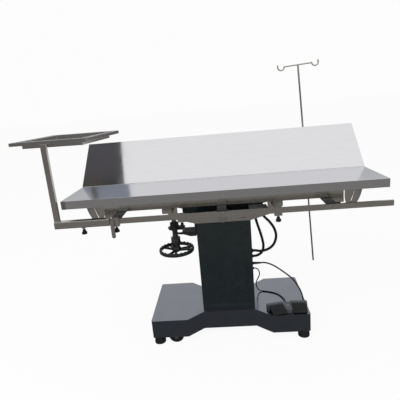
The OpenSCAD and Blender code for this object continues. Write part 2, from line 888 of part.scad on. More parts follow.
// Bearing block of the tilt screw, hung in the fork by its two trunnions
module screw_block() {
    color(black) translate([-screw_x, -screw_y, block_z]) difference() {
        union() {
            translate([0, 0, flange_h - block_low - 1])
                cylinder(r = block_r, h = block_high + block_low - flange_h + 1);
            translate([0, 0, -block_low]) linear_extrude(flange_h) {
                circle(r = flange_r);
                for (a = [0, 45, 135, 180, 225, 315]) rotate(a) translate([flange_r - 1, 0])
                    circle(d = lobe_d);
            }
            rod_y(0, -fork_gap + gap, fork_gap - gap, 0, trunnion_d + 6);
            rod_y(0, -fork_gap - fork_t - trunnion_out, fork_gap + fork_t + trunnion_out, 0,
                  trunnion_d);
        }
        translate([0, 0, -block_low - cut])
            cylinder(d = screw_d + 2 * fit, h = block_low + block_high + 2 * cut);
    }
}

// Tilt screw with its shoulder, upper ring and grey collar
module tilt_screw() {
    shoulder = block_z - block_low - gap;
    color(grey) translate([-screw_x, -screw_y, 0]) {
        translate([0, 0, block_z - wheel_drop]) cylinder(d = screw_d, h = wheel_drop + screw_top);
        translate([0, 0, shoulder - journal_l]) cylinder(d = screw_d + 5, h = journal_l);
        translate([0, 0, shoulder - journal_l - collar_h]) cylinder(r = collar_r, h = collar_h);
        translate([0, 0, block_z + block_high + gap]) cylinder(d = screw_d + 8, h = 4);
    }
}

// Half of the rim's section: a band with bevelled corners
module rim_section() {
    bevel = rim_w / 4;
    outer = wheel_od / 2;
    polygon([
        [outer - rim_w, -rim_h / 2 + bevel], [outer - rim_w + bevel, -rim_h / 2],
        [outer - bevel, -rim_h / 2], [outer, -rim_h / 2 + bevel],
        [outer, rim_h / 2 - bevel], [outer - bevel, rim_h / 2],
        [outer - rim_w + bevel, rim_h / 2], [outer - rim_w, rim_h / 2 - bevel]
    ]);
}

// Handwheel with three pairs of ribs, and finger grips in the top edge of its rim
module handwheel() {
    hub_top = block_z - block_low - gap - journal_l - collar_h;
    rib_l = wheel_od / 2 - rim_w / 2 - hub_low_r + 3;
    color(black) translate([-screw_x, -screw_y, 0]) difference() {
        union() {
            translate([0, 0, block_z - wheel_drop]) difference() {
                rotate_extrude() rim_section();
                for (k = [0:grips - 1]) rotate(360 * k / grips)
                    translate([wheel_od / 2 - rim_w - cut, -grip_w / 2, rim_h / 2 - grip_h])
                    cube([rim_w + 2 * cut, grip_w, grip_h + cut]);
            }
            translate([0, 0, hub_top - hub_h]) cylinder(r = hub_low_r, h = hub_h);
            translate([0, 0, hub_top - hub_h - 8]) cylinder(r1 = hub_low_r - 3, r2 = hub_low_r, h = 8);
            for (a = [0, 120, 240], b = [-14, 14]) rotate(a - 105 + b)
                translate([hub_low_r - 3, -rib_w / 2, block_z - wheel_drop - rib_h])
                    cube([rib_l, rib_w, rib_h]);
        }
        translate([0, 0, block_z - wheel_drop]) cylinder(d = screw_d, h = wheel_drop);
    }
}

module screw_nut() {
    color(grey) translate([-screw_x, -screw_y, nut_z]) difference() {
        union() {
            translate([0, 0, -nut_h / 2]) cylinder(d = nut_w, h = nut_h);
            rod_y(0, -nut_ear_gap - nut_ear_t - pin_out, nut_ear_gap + nut_ear_t + pin_out, 0,
                  trunnion_d);
        }
        translate([0, 0, -nut_h]) cylinder(d = screw_d + 2 * fit, h = 2 * nut_h);
    }
}

// Side plates that stand on the tilt shaft and carry the frame
module saddle_plate() {
    half = cross_x + cross_w / 2;
    low = casing_z + gap + saddle_room;
    toe = half - saddle_toe;
    rise = (toe - saddle_flat) * tan(saddle_slope);
    difference() {
        union() {
            translate([0, saddle_y + saddle_t, 0]) rotate([90, 0, 0]) linear_extrude(saddle_t)
                polygon([
                    [-saddle_flat, low], [saddle_flat, low], [toe, low + rise],
                    [half, cross_z - saddle_end], [half, cross_z], [half - saddle_post, cross_z],
                    [half - saddle_post, cross_z - saddle_dip],
                    [-half + saddle_post, cross_z - saddle_dip],
                    [-half + saddle_post, cross_z], [-half, cross_z],
                    [-half, cross_z - saddle_end], [-toe, low + rise]
                ]);
            rod_y(0, saddle_y - hub_in, saddle_y + saddle_t + hub_out, tilt_z, 2 * hub_r);
        }
        rod_y(0, saddle_y - hub_in - cut, saddle_y + saddle_t + hub_out + cut, tilt_z,
              shaft_d + 2 * fit);
        for (x = [stop_x, stop_x + stop_l])
            rod_y(x, saddle_y - cut, saddle_y + saddle_t + cut, low + stop_rise, stop_d);
        translate([stop_x, saddle_y - cut, low + stop_rise - stop_d / 2])
            cube([stop_l, saddle_t + 2 * cut, stop_d]);
    }
}

module saddle_plates() {
    color(bar_steel) both_y() saddle_plate();
}

// A rectangular tube between two corners, open along one axis
module box_tube(lo, hi, along) {
    inset = [for (i = [0:2]) i == along ? -cut : tube_t];
    difference() {
        box(lo, hi);
        box(lo + inset, hi - inset);
    }
}

// A rectangular tube with plates welded over its ends, and a vent hole in its underside
module closed_tube(lo, hi) {
    inset = [tube_t, tube_t, tube_t];
    at = lo + 0.4 * (hi - lo);
    difference() {
        box(lo, hi);
        box(lo + inset, hi - inset);
        translate([at[0], at[1], lo[2] - cut]) cylinder(d = vent_d, h = tube_t + 2 * cut);
    }
}

module cross_tube(x, w) {
    closed_tube([x - w / 2, -frame_hw - cross_out, cross_z],
                [x + w / 2, frame_hw + cross_out, side_z]);
}

// Cross tube over the tilt screw, with the ears of the nut and a way through for the screw
module nut_cross_tube() {
    way = screw_d / 2 + screw_room;
    ears_out = nut_ear_gap + nut_ear_t;
    difference() {
        union() {
            cross_tube(-cross_x, cross_w);
            for (y = [-screw_y - ears_out, -screw_y + nut_ear_gap])
                translate([0, y + nut_ear_t, 0]) rotate([90, 0, 0]) linear_extrude(nut_ear_t) {
                    translate([-screw_x, nut_z]) circle(r = ear_r);
                    translate([-screw_x - ear_r, nut_z]) square([2 * ear_r, cross_z - nut_z]);
                }
        }
        rod_y(-screw_x, -screw_y - ears_out - cut, -screw_y + ears_out + cut, nut_z,
              trunnion_d + 2 * fit);
        box([-screw_x - way, -screw_y - way, cross_z - cut],
            [-screw_x + way, -screw_y + way, side_z + cut]);
    }
}

// Side tube with a lug at each end for the locking bolt of the slotted plate
module side_tube() {
    closed_tube([-frame_hl, frame_hw - side_w, side_z], [frame_hl, frame_hw, tube_top]);
    both_x() difference() {
        union() {
            box([frame_hl, frame_hw - side_w, tube_top - 12],
                [lock_plate_x, frame_hw - side_w + 10, tube_top]);
            box([frame_hl - 15, frame_hw - side_w, tube_top - 12],
                [frame_hl, frame_hw - side_w + tube_t, tube_top]);
            box([lock_plate_x - lock_plate_t, lock_y - 11, tube_top - 12],
                [lock_plate_x, frame_hw - side_w + 10, lock_z + 9]);
        }
        rod_x(lock_plate_x - 20, lock_plate_x + 20, lock_y, lock_z, lock_d + 2 * fit);
    }
}

// Beam under the hinge, with an ear at each hinge station
module hinge_beam() {
    difference() {
        union() {
            closed_tube([-beam_hl, -beam_hw, side_z], [beam_hl, beam_hw, beam_top]);
            for (x = hinge_stations) {
                box([x - ear_w / 2, -knuckle_r, beam_top], [x + ear_w / 2, knuckle_r, hinge_z]);
                rod_x(x - ear_w / 2, x + ear_w / 2, 0, hinge_z, 2 * knuckle_r);
            }
        }
        rod_x(-beam_hl - cut, beam_hl + cut, 0, hinge_z, hinge_d + 2 * fit);
    }
}

module under_frame() {
    color(bar_steel) {
        nut_cross_tube();
        cross_tube(cross_x, cross_w);
        both_x() cross_tube(end_x, end_w);
        hinge_beam();
    }
}

module side_tubes() {
    color(bar_steel) both_y() side_tube();
}

// Hinge rod, with sleeves on it from each hinge to the next
module hinge_rod() {
    last = len(hinge_stations) - 1;
    reach = ear_w / 2 + knuckle_w + 2 * gap;
    rod_end = top_l / 2 - rod_short;
    color(steel) {
        rod_x(-rod_end, rod_end, 0, hinge_z, hinge_d);
        for (i = [0:last - 1])
            rod_x(hinge_stations[i] + reach, hinge_stations[i + 1] - reach, 0, hinge_z, 2 * knuckle_r);
        both_x() rod_x(hinge_stations[last] + reach, rod_end, 0, hinge_z, 2 * knuckle_r);
    }
}

// Rail screws sit in countersunk holes, flush with the rail's face
module rail_screw(x, grow) {
    rod_y(x, rail_y - arm_t - 4, rail_out - 4, rail_z, rail_screw_d + 2 * grow);
    translate([x, rail_out - 4, rail_z]) rotate([-90, 0, 0])
        cylinder(d1 = rail_screw_d + 2 * grow, d2 = rail_screw_d + 8 + 2 * grow, h = 4);
}

module rail_screws(grow) {
    for (a = rail_arms_x, s = [-0.5, 0.5]) rail_screw(a[0] + a[1] + s * screw_pitch, grow);
}

module side_rails() {
    color(bar_steel) both_y() difference() {
        box([-top_l / 2, rail_y, rail_low], [top_l / 2, rail_out, rail_high]);
        rail_screws(fit);
    }
}

// Flat arms under the side tubes, turned down behind the rail
module rail_arm(a) {
    tab = a[0] + a[1];
    difference() {
        union() {
            box([a[0] - arm_w / 2, frame_hw - side_w - arm_in, side_z - arm_t],
                [a[0] + arm_w / 2, rail_y, side_z]);
            box([tab - screw_pitch, rail_y - arm_t, rail_low], [tab + screw_pitch, rail_y, side_z]);
        }
        rail_screws(fit);
    }
}

module rail_arms() {
    color(black) both_y() for (a = rail_arms_x) rail_arm(a);
}

// A bolt through the lock plate and the slot, with a washer head and a nut
module lock_bolt() {
    head_x = quadrant_x + quadrant_t / 2 + gap;
    rod_x(lock_plate_x - lock_plate_t - 6, head_x + 7, lock_y, lock_z, lock_d);
    rod_x(head_x, head_x + 3, lock_y, lock_z, 2.1 * lock_d);
    translate([head_x + 3, lock_y, lock_z]) rotate([0, 90, 0])
        cylinder(d = 1.7 * lock_d, h = 5, $fn = 6);
    translate([lock_plate_x - lock_plate_t - 7, lock_y, lock_z]) rotate([0, 90, 0])
        cylinder(d = 1.7 * lock_d, h = 7, $fn = 6);
}

module frame_bolts() {
    color(steel) {
        both_y() rail_screws(0);
        both_x() both_y() lock_bolt();
    }
}

// One panel lying flat on the +Y side. Its hinge knuckles sit beside the frame's ears
module panel(knuckle_side) {
    hl = top_l / 2;
    reach = ear_w / 2 + gap + knuckle_w / 2;
    difference() {
        union() {
            difference() {
                box([-hl, seam, panel_z], [hl, panel_w, top_z]);
                box([-hl + sheet_t, seam + sheet_t, panel_z - cut],
                    [hl - sheet_t, panel_w - sheet_t, top_z - sheet_t]);
            }
            difference() {
                box([-stiff_hl, frame_hw - side_w - stiff_over, tube_top + gap],
                    [stiff_hl, frame_hw + stiff_over, top_z - sheet_t]);
                box([-stiff_hl - cut, frame_hw - side_w - stiff_over + sheet_t,
                     tube_top + gap + sheet_t],
                    [stiff_hl + cut, frame_hw + stiff_over - sheet_t, top_z - sheet_t + cut]);
            }
            for (x = hinge_stations) translate([x + knuckle_side * reach, 0, hinge_z]) {
                rod_x(-knuckle_w / 2, knuckle_w / 2, 0, 0, 2 * knuckle_r);
                box([-knuckle_w / 2, knuckle_r - 2, -4],
                    [knuckle_w / 2, seam + sheet_t / 2, 4]);
            }
        }
        rod_x(-hl - cut, hl + cut, 0, hinge_z, hinge_d + 2 * fit);
    }
}

// Slotted plate under a flat panel on the +Y side: part of a disc, cut off on the inside
module quadrant() {
    disc_y = 60;
    disc_z = top_z + 55;
    disc_r = 231;
    inner_y = 34;
    low_band = 100;
    round_r = 40;
    round_z = disc_z - sqrt(pow(disc_r - round_r, 2) - pow(inner_y + round_r - disc_y, 2));
    slot_w = lock_d + 2 * gap;
    translate([quadrant_x - quadrant_t / 2, 0, 0]) rotate([90, 0, 90]) linear_extrude(quadrant_t)
        difference() {
            intersection() {
                translate([disc_y, disc_z]) circle(r = disc_r, $fn = 120);
                union() {
                    translate([inner_y, round_z]) square([disc_r, top_z - sheet_t - round_z]);
                    translate([inner_y + round_r, round_z]) circle(r = round_r);
                    translate([inner_y + round_r, disc_z - disc_r]) square([disc_r, low_band]);
                }
            }
            polygon(concat(
                arc([0, hinge_z], slot_r - slot_w / 2, -lock_angle, -lock_angle - slot_sweep, 24),
                arc([0, hinge_z], slot_r + slot_w / 2, -lock_angle - slot_sweep, -lock_angle, 24)
            ));
            for (a = [lock_angle, lock_angle + slot_sweep])
                translate([slot_r * cos(a), hinge_z - slot_r * sin(a)]) circle(d = slot_w);
        }
}

module raised() {
    translate([0, 0, hinge_z]) rotate([rear_angle, 0, 0]) translate([0, 0, -hinge_z]) children();
}

module panel_front() {
    color(steel) mirror([0, 1, 0]) panel(1);
}

module panel_rear() {
    color(steel) raised() panel(-1);
}

module quadrants_front() {
    color(bar_steel) mirror([0, 1, 0]) both_x() quadrant();
}

module quadrants_rear() {
    color(bar_steel) raised() both_x() quadrant();
}

// Star knob under a clamp: threaded stud, stem and a lobed bell. The top of the stud is at z
module star_knob(z, jaw) {
    bell_z = z - jaw - 8;
    translate([0, 0, bell_z]) cylinder(d = stud_d, h = z - bell_z);
    translate([0, 0, bell_z - 10]) cylinder(d = 0.6 * knob_d, h = 10);
    translate([0, 0, bell_z - 21]) cylinder(d = 0.76 * knob_d, h = 11);
    for (a = [0:72:288]) rotate(a) translate([0.34 * knob_d, 0, bell_z - 21])
        cylinder(d = 0.32 * knob_d, h = 11);
}

// Clamp on the outer face of the rail on the +Y side, held by the knob from below
module rail_clamp(plate) {
    front = rail_out + gap;
    back = rail_y + gap;
    low = rail_low - gap - jaw_h;
    high = rail_high + gap + lip_h;
    difference() {
        union() {
            box([-clamp_w / 2, front, low], [clamp_w / 2, front + plate, high]);
            box([-clamp_w / 2, back, rail_high + gap], [clamp_w / 2, front + 1, high]);
            box([-clamp_w / 2, back, low], [clamp_w / 2, front + 1, rail_low - gap]);
        }
        translate([0, stud_y, low - cut]) cylinder(d = stud_d + 2 * fit, h = jaw_h + 2 * cut);
    }
}

module clamp_knob(x, side) {
    color(black) translate([x, side * stud_y, 0]) star_knob(rail_low - gap, jaw_h);
}

// Left clamp with a blind socket tube for an accessory rod
module clamp_left() {
    tube_y = rail_out + gap + clamp_t + socket_od / 2 - 0.5;
    mouth = rail_high + gap + 1.2;
    floor_z = mouth - socket_depth;
    dx = -12;
    color(bar_steel) translate([clamp_left_x, 0, 0]) mirror([0, 1, 0]) {
        rail_clamp(clamp_t);
        translate([dx, tube_y, 0]) difference() {
            union() {
                translate([0, 0, floor_z]) cylinder(d = socket_od, h = socket_depth);
                translate([0, 0, floor_z]) sphere(d = socket_od);
            }
            translate([0, 0, floor_z]) cylinder(d = socket_d, h = socket_depth + cut);
        }
    }
}

module clamp_mid() {
    color(bar_steel) translate([clamp_mid_x, 0, 0]) mirror([0, 1, 0]) rail_clamp(clamp_t);
}

module clamp_right() {
    color(bar_steel) translate([clamp_right_x, 0, 0]) mirror([0, 1, 0]) rail_clamp(clamp_t);
}

module clamp_left_knob() { clamp_knob(clamp_left_x, -1); }
module clamp_mid_knob() { clamp_knob(clamp_mid_x, -1); }
module clamp_right_knob() { clamp_knob(clamp_right_x, -1); }

// Tray arm: a square tube that slides on the rail's end, and a slimmer post welded to it
module tray_arm() {
    half = post_w / 2;
    half_d = upright_d / 2;
    end_x0 = -post_x - half;
    rail_room = [0, rail_t / 2 + gap, rail_h / 2 + gap];
    guides = [-sleeve_in - guide_l, -sleeve_in - guide_back];
    color(bar_steel) difference() {
        union() {
            difference() {
                union() {
                    box([end_x0, -rail_mid - half, rail_z - half],
                        [-sleeve_in, -rail_mid + half, rail_z + half]);
                    box([end_x0, -rail_mid - half_d, rail_z],
                        [end_x0 + upright_w, -rail_mid + half_d, post_top]);
                }
                box([end_x0 + post_t, -rail_mid - half + post_t, rail_z - half + post_t],
                    [-sleeve_in + cut, -rail_mid + half - post_t, rail_z + half - post_t]);
                box([end_x0 + post_t, -rail_mid - half_d + post_t, rail_z],
                    [end_x0 + upright_w - post_t, -rail_mid + half_d - post_t, post_top - 60]);
                translate([-upright_x, -rail_mid, post_top - spigot_l - 1])
                    cylinder(d = spigot_d + 2 * fit, h = spigot_l + 2);
            }
            for (x = guides) box([x, -rail_mid - half + post_t, rail_z - half + post_t],
                                 [x + guide_l, -rail_mid + half - post_t, rail_z + half - post_t]);
            translate([arm_knob_x, -rail_mid, rail_z - half - arm_nut_h])
                cylinder(d = 2.4 * stud_d, h = arm_nut_h);
        }
        box([end_x0 + post_w, -rail_mid - rail_room[1], rail_z - rail_room[2]],
            [-sleeve_in + cut, -rail_mid + rail_room[1], rail_z + rail_room[2]]);
        translate([arm_knob_x, -rail_mid, rail_z - half - arm_nut_h - cut])
            cylinder(d = stud_d + 2 * fit, h = post_w);
    }
}

module tray_arm_knob() {
    jaw = (post_w - rail_h) / 2 - gap + arm_nut_h;
    color(black) translate([arm_knob_x, -rail_mid, 0]) star_knob(rail_low - gap, jaw);
}

// Everything on the tray turns with it about the post
module on_post() {
    translate([-upright_x, -rail_mid, 0]) rotate(tray_turn)
        translate([ring_side, tray_w / 2 - ring_back, 0]) children();
}

// Square frame that the pan hangs in, on a spigot that turns in the post
module tray_ring() {
    outer = tray_w / 2 - rim_t - 1;
    high = tray_z - rim_t;
    low = high - ring_w;
    color(bar_steel) on_post() {
        difference() {
            box([-outer, -outer, low], [outer, outer, high]);
            box([-outer + ring_w, -outer + ring_w, low - cut],
                [outer - ring_w, outer - ring_w, high + cut]);
        }
        translate([-ring_side, ring_back - tray_w / 2, post_top - spigot_l])
            cylinder(d = spigot_d, h = low - post_top + spigot_l + boss_into);
    }
}

// Sheet pan with a flat rim and a folded lip round it
module tray_pan() {
    half = tray_w / 2;
    well = half - tray_rim;
    color(steel) on_post() difference() {
        union() {
            difference() {
                box([-half, -half, tray_z - lip_drop], [half, half, tray_z]);
                box([-half + rim_t, -half + rim_t, tray_z - lip_drop - cut],
                    [half - rim_t, half - rim_t, tray_z - rim_t]);
            }
            box([-well, -well, tray_z - tray_depth], [well, well, tray_z - rim_t]);
        }
        box([-well + rim_t, -well + rim_t, tray_z - tray_depth + rim_t],
            [well - rim_t, well - rim_t, tray_z + cut]);
    }
}

// Clamp on the rear rail, with a bore for the socket's pivot
module iv_clamp() {
    color(bar_steel) difference() {
        translate([pole_x, 0, 0]) rail_clamp(pole_clamp_t);
        rod_y(pole_x, rail_out - cut, pole_y, rail_z, pivot_d + 2 * fit);
    }
}

module iv_clamp_knob() { clamp_knob(pole_x, 1); }

// Everything on the pole leans about the socket's pivot
module leaning() {
    translate([pole_x, pole_y, rail_z]) rotate([0, -pole_lean, 0]) children();
}

module iv_socket() {
    face = rail_out + gap + pole_clamp_t + gap - pole_y;
    color(bar_steel) leaning() difference() {
        union() {
            translate([0, 0, -socket_tube_l / 2]) cylinder(r = socket_tube_r, h = socket_tube_l);
            rod_y(0, face, 0, 0, socket_flange_d);
            rod_y(0, face - pole_clamp_t, 0, 0, pivot_d);
        }
        translate([0, 0, -socket_tube_l]) cylinder(d = pole_d + 2 * fit, h = 2 * socket_tube_l);
        rod_y(0, pole_d / 2 + fit - cut, socket_tube_r + thumb_out, thumb_z, thumb_d + 2 * fit);
    }
}

// Thumb screw that holds the pole in its socket
module iv_pole_knob() {
    color(black) leaning() {
        rod_y(0, pole_d / 2 + gap, socket_tube_r + thumb_in, thumb_z, thumb_d);
        rod_y(0, socket_tube_r + gap, socket_tube_r + thumb_out, thumb_z, thumb_head_d);
    }
}

// Pole with a welded cross wire that ends in two upturned hooks
module iv_pole() {
    high = pole_l - pole_below;
    bar = hook_span / 2 - 2 * hook_r;
    color(bar_steel) leaning() {
        translate([0, 0, -pole_below]) cylinder(d = pole_d, h = pole_l);
        translate([0, 0, high]) {
            rod_x(-bar, bar, 0, 0, hook_wire);
            both_x() {
                translate([bar, 0, 0]) sphere(d = hook_wire);
                translate([bar + hook_r, 0, 0]) rotate([90, 0, 0]) rotate([0, 0, 180])
                    rotate_extrude(angle = 180) translate([hook_r, 0]) circle(d = hook_wire);
                translate([bar + 2 * hook_r, 0, 0]) cylinder(d = hook_wire, h = hook_tip);
                translate([bar + 2 * hook_r, 0, hook_tip]) sphere(d = hook_wire);
            }
        }
    }
}

// Places a pedal by the back of its tread: side -1 is the left one
module at_pedal(side) {
    translate([switch_x, switch_y, 0]) rotate(switch_turn)
        translate([side * pedal_dx, -switch_block, 0]) rotate(-side * pedal_splay) children();
}

// Foot switch housing: a tapered middle, and a rear block with two lugs for each pedal
module switch_housing() {
    half = pedal_w / 2;
    pin_end = half + pedal_gap + pedal_lug + 1;
    tab_l = pedal_l + tab_over;
    tab_back = pedal_dx - half - pedal_gap;
    tab_front = tab_back - (tab_l - switch_block) * tan(pedal_splay) - pedal_gap;
    color(grey) difference() {
        union() {
            translate([switch_x, switch_y, base_z]) rotate(switch_turn)
                linear_extrude(tab_h) polygon([
                    [-tab_back, 0], [tab_back, 0], [tab_back - tab_taper, -switch_block],
                    [tab_front, -tab_l], [-tab_front, -tab_l],
                    [-tab_back + tab_taper, -switch_block]
                ]);
            for (side = [-1, 1]) at_pedal(side) {
                box([-pin_end, pedal_gap, base_z],
                    [pin_end, switch_block - block_short, base_z + block_h]);
                for (x = [-half - pedal_gap - pedal_lug, half + pedal_gap])
                    box([x, -lug_front, base_z],
                        [x + pedal_lug, pedal_gap + cut, base_z + pedal_lug_h]);
            }
            lead_boss(upper_route, upper_lead_d);
            lead_boss(lower_route, lower_lead_d);
        }
        for (side = [-1, 1]) at_pedal(side)
            rod_x(-pin_end, pin_end, pedal_pin_y, pedal_z, pedal_pin_d + 2 * fit);
    }
}

// A boss that takes the end of a lead, in line with it
module lead_boss(route, d) {
    p = route[len(route) - 1];
    rod_y(p[0], p[1] - boss_l, p[1], p[2], d + 2 * boss_wall);
}

// Pedal on two stub pins at its back, sloping down to the toe
module pedal(side) {
    half = pedal_w / 2;
    pin_end = half + pedal_gap + pedal_lug - 1;
    color(black) at_pedal(side) {
        rod_x(-pin_end, pin_end, pedal_pin_y, pedal_z, pedal_pin_d);
        translate([-half, 0, 0]) rotate([90, 0, 90]) linear_extrude(pedal_w) polygon([
            [0, pedal_z - 5], [0, base_z + 26], [-8, base_z + 27],
            [-pedal_l, base_z + 13], [-pedal_l - 2, base_z + 10], [-pedal_l, base_z + 6],
            [-12, pedal_z - 6]
        ]);
    }
}

module pedal_left() { pedal(-1); }
module pedal_right() { pedal(1); }

module hose_front() { color(black) tube(hose_front_route, hose_d, 10); }
module hose_rear() { color(black) tube(hose_rear_route, hose_d, 10); }
module lead_upper() { color(black) tube(upper_route, upper_lead_d, 8); }
module lead_lower() { color(black) tube(lower_route, lower_lead_d, 8); }

base_shell();
base_frame();
wheel_brackets();
column_casing();
column_seal();
mast_outer();
glide_pads();
actuator_body();
control_box();
power_inlet();
cable_glands();
switch_housing();
lead_upper();
lead_lower();
hose_front();
hose_rear();
foot_front_left();
foot_front_right();
foot_rear_left();
foot_rear_right();
wheel_front();
wheel_rear();
pedal_left();
pedal_right();
mast_inner();
actuator_rod();
head_block();
tilt_shaft();
screw_bracket();
junction_box();
screw_block();
tilt_screw();
handwheel();
screw_nut();
saddle_plates();
under_frame();
side_tubes();
side_rails();
rail_arms();
frame_bolts();
hinge_rod();
panel_front();
quadrants_front();
panel_rear();
quadrants_rear();
tray_arm();
tray_arm_knob();
tray_ring();
tray_pan();
iv_pole();
iv_socket();
iv_pole_knob();
iv_clamp();
iv_clamp_knob();
clamp_left();
clamp_mid();
clamp_right();
clamp_left_knob();
clamp_mid_knob();
clamp_right_knob();
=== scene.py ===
"""Looks of the veterinary surgery table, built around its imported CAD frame. Lengths are metres."""

import json
import math

import bmesh
import bpy
from mathutils import Matrix, Vector


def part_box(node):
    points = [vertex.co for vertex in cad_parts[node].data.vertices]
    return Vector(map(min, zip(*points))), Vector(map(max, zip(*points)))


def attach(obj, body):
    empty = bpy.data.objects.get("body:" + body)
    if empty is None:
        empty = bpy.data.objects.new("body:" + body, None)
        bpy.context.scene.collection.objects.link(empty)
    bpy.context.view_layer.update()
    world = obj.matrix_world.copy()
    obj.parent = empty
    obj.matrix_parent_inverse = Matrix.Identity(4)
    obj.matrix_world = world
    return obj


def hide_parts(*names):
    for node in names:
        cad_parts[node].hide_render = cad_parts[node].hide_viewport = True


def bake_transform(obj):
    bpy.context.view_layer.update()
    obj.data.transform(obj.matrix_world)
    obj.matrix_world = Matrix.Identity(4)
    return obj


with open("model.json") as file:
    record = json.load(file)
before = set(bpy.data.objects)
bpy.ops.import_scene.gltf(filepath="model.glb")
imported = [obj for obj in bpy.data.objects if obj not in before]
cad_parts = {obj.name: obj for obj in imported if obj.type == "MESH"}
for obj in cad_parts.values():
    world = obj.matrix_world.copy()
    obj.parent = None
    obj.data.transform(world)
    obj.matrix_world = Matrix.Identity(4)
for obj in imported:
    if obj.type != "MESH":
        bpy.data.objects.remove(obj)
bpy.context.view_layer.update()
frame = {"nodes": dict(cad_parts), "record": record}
nodes = frame["nodes"]
scene = bpy.context.scene


# Camera at the photograph's viewing angle

CAMERA_AT = Vector((0.01711, -1.96187, 1.24733))
CAMERA_YAW = 0.0702
CAMERA_DOWN = 0.249
CAMERA_ROLL = -0.0879
FOCAL_PIXELS = 375.73
FRAME_PIXELS = 400
FRAME_CENTRE = (199.0, 197.5)


def make_camera():
    """The camera, turned by its yaw, then down, then rolled about its own axis."""
    yaw, down, roll = CAMERA_YAW, CAMERA_DOWN, CAMERA_ROLL
    ahead = Vector((
        -math.sin(yaw) * math.cos(down), math.cos(yaw) * math.cos(down), -math.sin(down)))
    level = Vector((math.cos(yaw), math.sin(yaw), 0))
    upright = level.cross(ahead)
    right = math.cos(roll) * level + math.sin(roll) * upright
    up = math.cos(roll) * upright - math.sin(roll) * level
    data = bpy.data.cameras.new("camera")
    data.sensor_width = 36
    data.lens = FOCAL_PIXELS * data.sensor_width / FRAME_PIXELS
    data.shift_x = (FRAME_PIXELS / 2 - FRAME_CENTRE[0]) / FRAME_PIXELS
    data.shift_y = (FRAME_CENTRE[1] - FRAME_PIXELS / 2) / FRAME_PIXELS
    camera = bpy.data.objects.new("camera", data)
    turn = Matrix((right, up, -ahead)).transposed().to_4x4()
    camera.matrix_world = Matrix.Translation(CAMERA_AT) @ turn
    scene.collection.objects.link(camera)
    scene.camera = camera


make_camera()


# Finishes. Every texture is read in the object's own coordinates, which are those of the frame


def new_finish(name, colour, metallic, roughness, **sockets):
    """A material with one Principled shader, and constants on its sockets."""
    finish = bpy.data.materials.new(name)
    finish.use_nodes = True
    shader = finish.node_tree.nodes["Principled BSDF"]
    shader.inputs["Base Color"].default_value = (*colour, 1)
    shader.inputs["Metallic"].default_value = metallic
    shader.inputs["Roughness"].default_value = roughness
    for socket, value in sockets.items():
        shader.inputs[socket.replace("_", " ")].default_value = value
    return finish


def add_node(finish, kind, **values):
    """A node of that kind, with its sockets set or linked by name."""
    node = finish.node_tree.nodes.new(kind)
    for name, value in values.items():
        socket = node.inputs[name.replace("_", " ")]
        if isinstance(value, bpy.types.NodeSocket):
            finish.node_tree.links.new(value, socket)
        else:
            socket.default_value = value
    return node


def grain(finish, scale, stretch=(1, 1, 1), detail=2.0):
    """Noise of about that many spots per metre, drawn out along the axes with a small stretch."""
    where = add_node(finish, "ShaderNodeTexCoord").outputs["Object"]
    spread = tuple(scale * s for s in stretch)
    mapped = add_node(finish, "ShaderNodeMapping", Vector=where, Scale=spread).outputs["Vector"]
    noise = add_node(finish, "ShaderNodeTexNoise", Vector=mapped, Scale=1.0, Detail=detail)
    return noise.outputs["Fac"]


# Most of a noise lies between these two values

NOISE_LOW = 0.3
NOISE_HIGH = 0.7


def remap(finish, value, low, high):
    """A noise, clamped to its usual values and spread from low to high."""
    node = add_node(finish, "ShaderNodeMapRange", Value=value)
    node.inputs["From Min"].default_value = NOISE_LOW
    node.inputs["From Max"].default_value = NOISE_HIGH
    node.inputs["To Min"].default_value = low
    node.inputs["To Max"].default_value = high
    return node.outputs["Result"]


def link(finish, value, socket):
    """Join a value to a socket of the Principled shader."""
    finish.node_tree.links.new(value, finish.node_tree.nodes["Principled BSDF"].inputs[socket])


def tint(finish, value, dark, light):
    """Base colour that runs from dark to light with the value."""
    ramp = add_node(finish, "ShaderNodeValToRGB", Fac=value)
    ends = ramp.color_ramp.elements
    for end, place, colour in ((ends[0], NOISE_LOW, dark), (ends[1], NOISE_HIGH, light)):
        end.position = place
        end.color = (*colour, 1)
    link(finish, ramp.outputs["Color"], "Base Color")


def relief(finish, *layers):
    """Bump from one or more (value, height in metres) pairs."""
    normal = None
    for value, height in layers:
        node = add_node(finish, "ShaderNodeBump", Height=value, Distance=height, Strength=1.0)
        if normal is not None:
            finish.node_tree.links.new(normal, node.inputs["Normal"])
        normal = node.outputs["Normal"]
    link(finish, normal, "Normal")


def scaled(colour, factor):
    """The colour, brighter or darker by the factor."""
    return tuple(min(1.0, c * factor) for c in colour)


# Brushed lines: how many in a metre, how far they are drawn out, and how deep they are

LINES = 1100
LINE_STRETCH = 0.012
LINE_DEPTH = 0.0000012


def brushed(name, colour, roughness, along, wave=0.0002):
    """Brushed steel, with its lines along one axis and a slow wave in the sheet."""
    finish = new_finish(name, colour, 1.0, roughness)
    stretch = [1, 1, 1]
    stretch[along] = LINE_STRETCH
    lines = grain(finish, LINES, stretch, 3)
    smudge = grain(finish, 9, detail=3)
    tint(finish, lines, scaled(colour, 0.95), scaled(colour, 1.05))
    rough = add_node(finish, "ShaderNodeMath", Value=remap(finish, lines, -0.02, 0.02))
    rough.operation = "ADD"
    smudged = remap(finish, smudge, roughness - 0.02, roughness + 0.03)
    finish.node_tree.links.new(smudged, rough.inputs[1])
    link(finish, rough.outputs["Value"], "Roughness")
    relief(finish, (lines, LINE_DEPTH), (grain(finish, 2.5, detail=1), wave))
    return finish


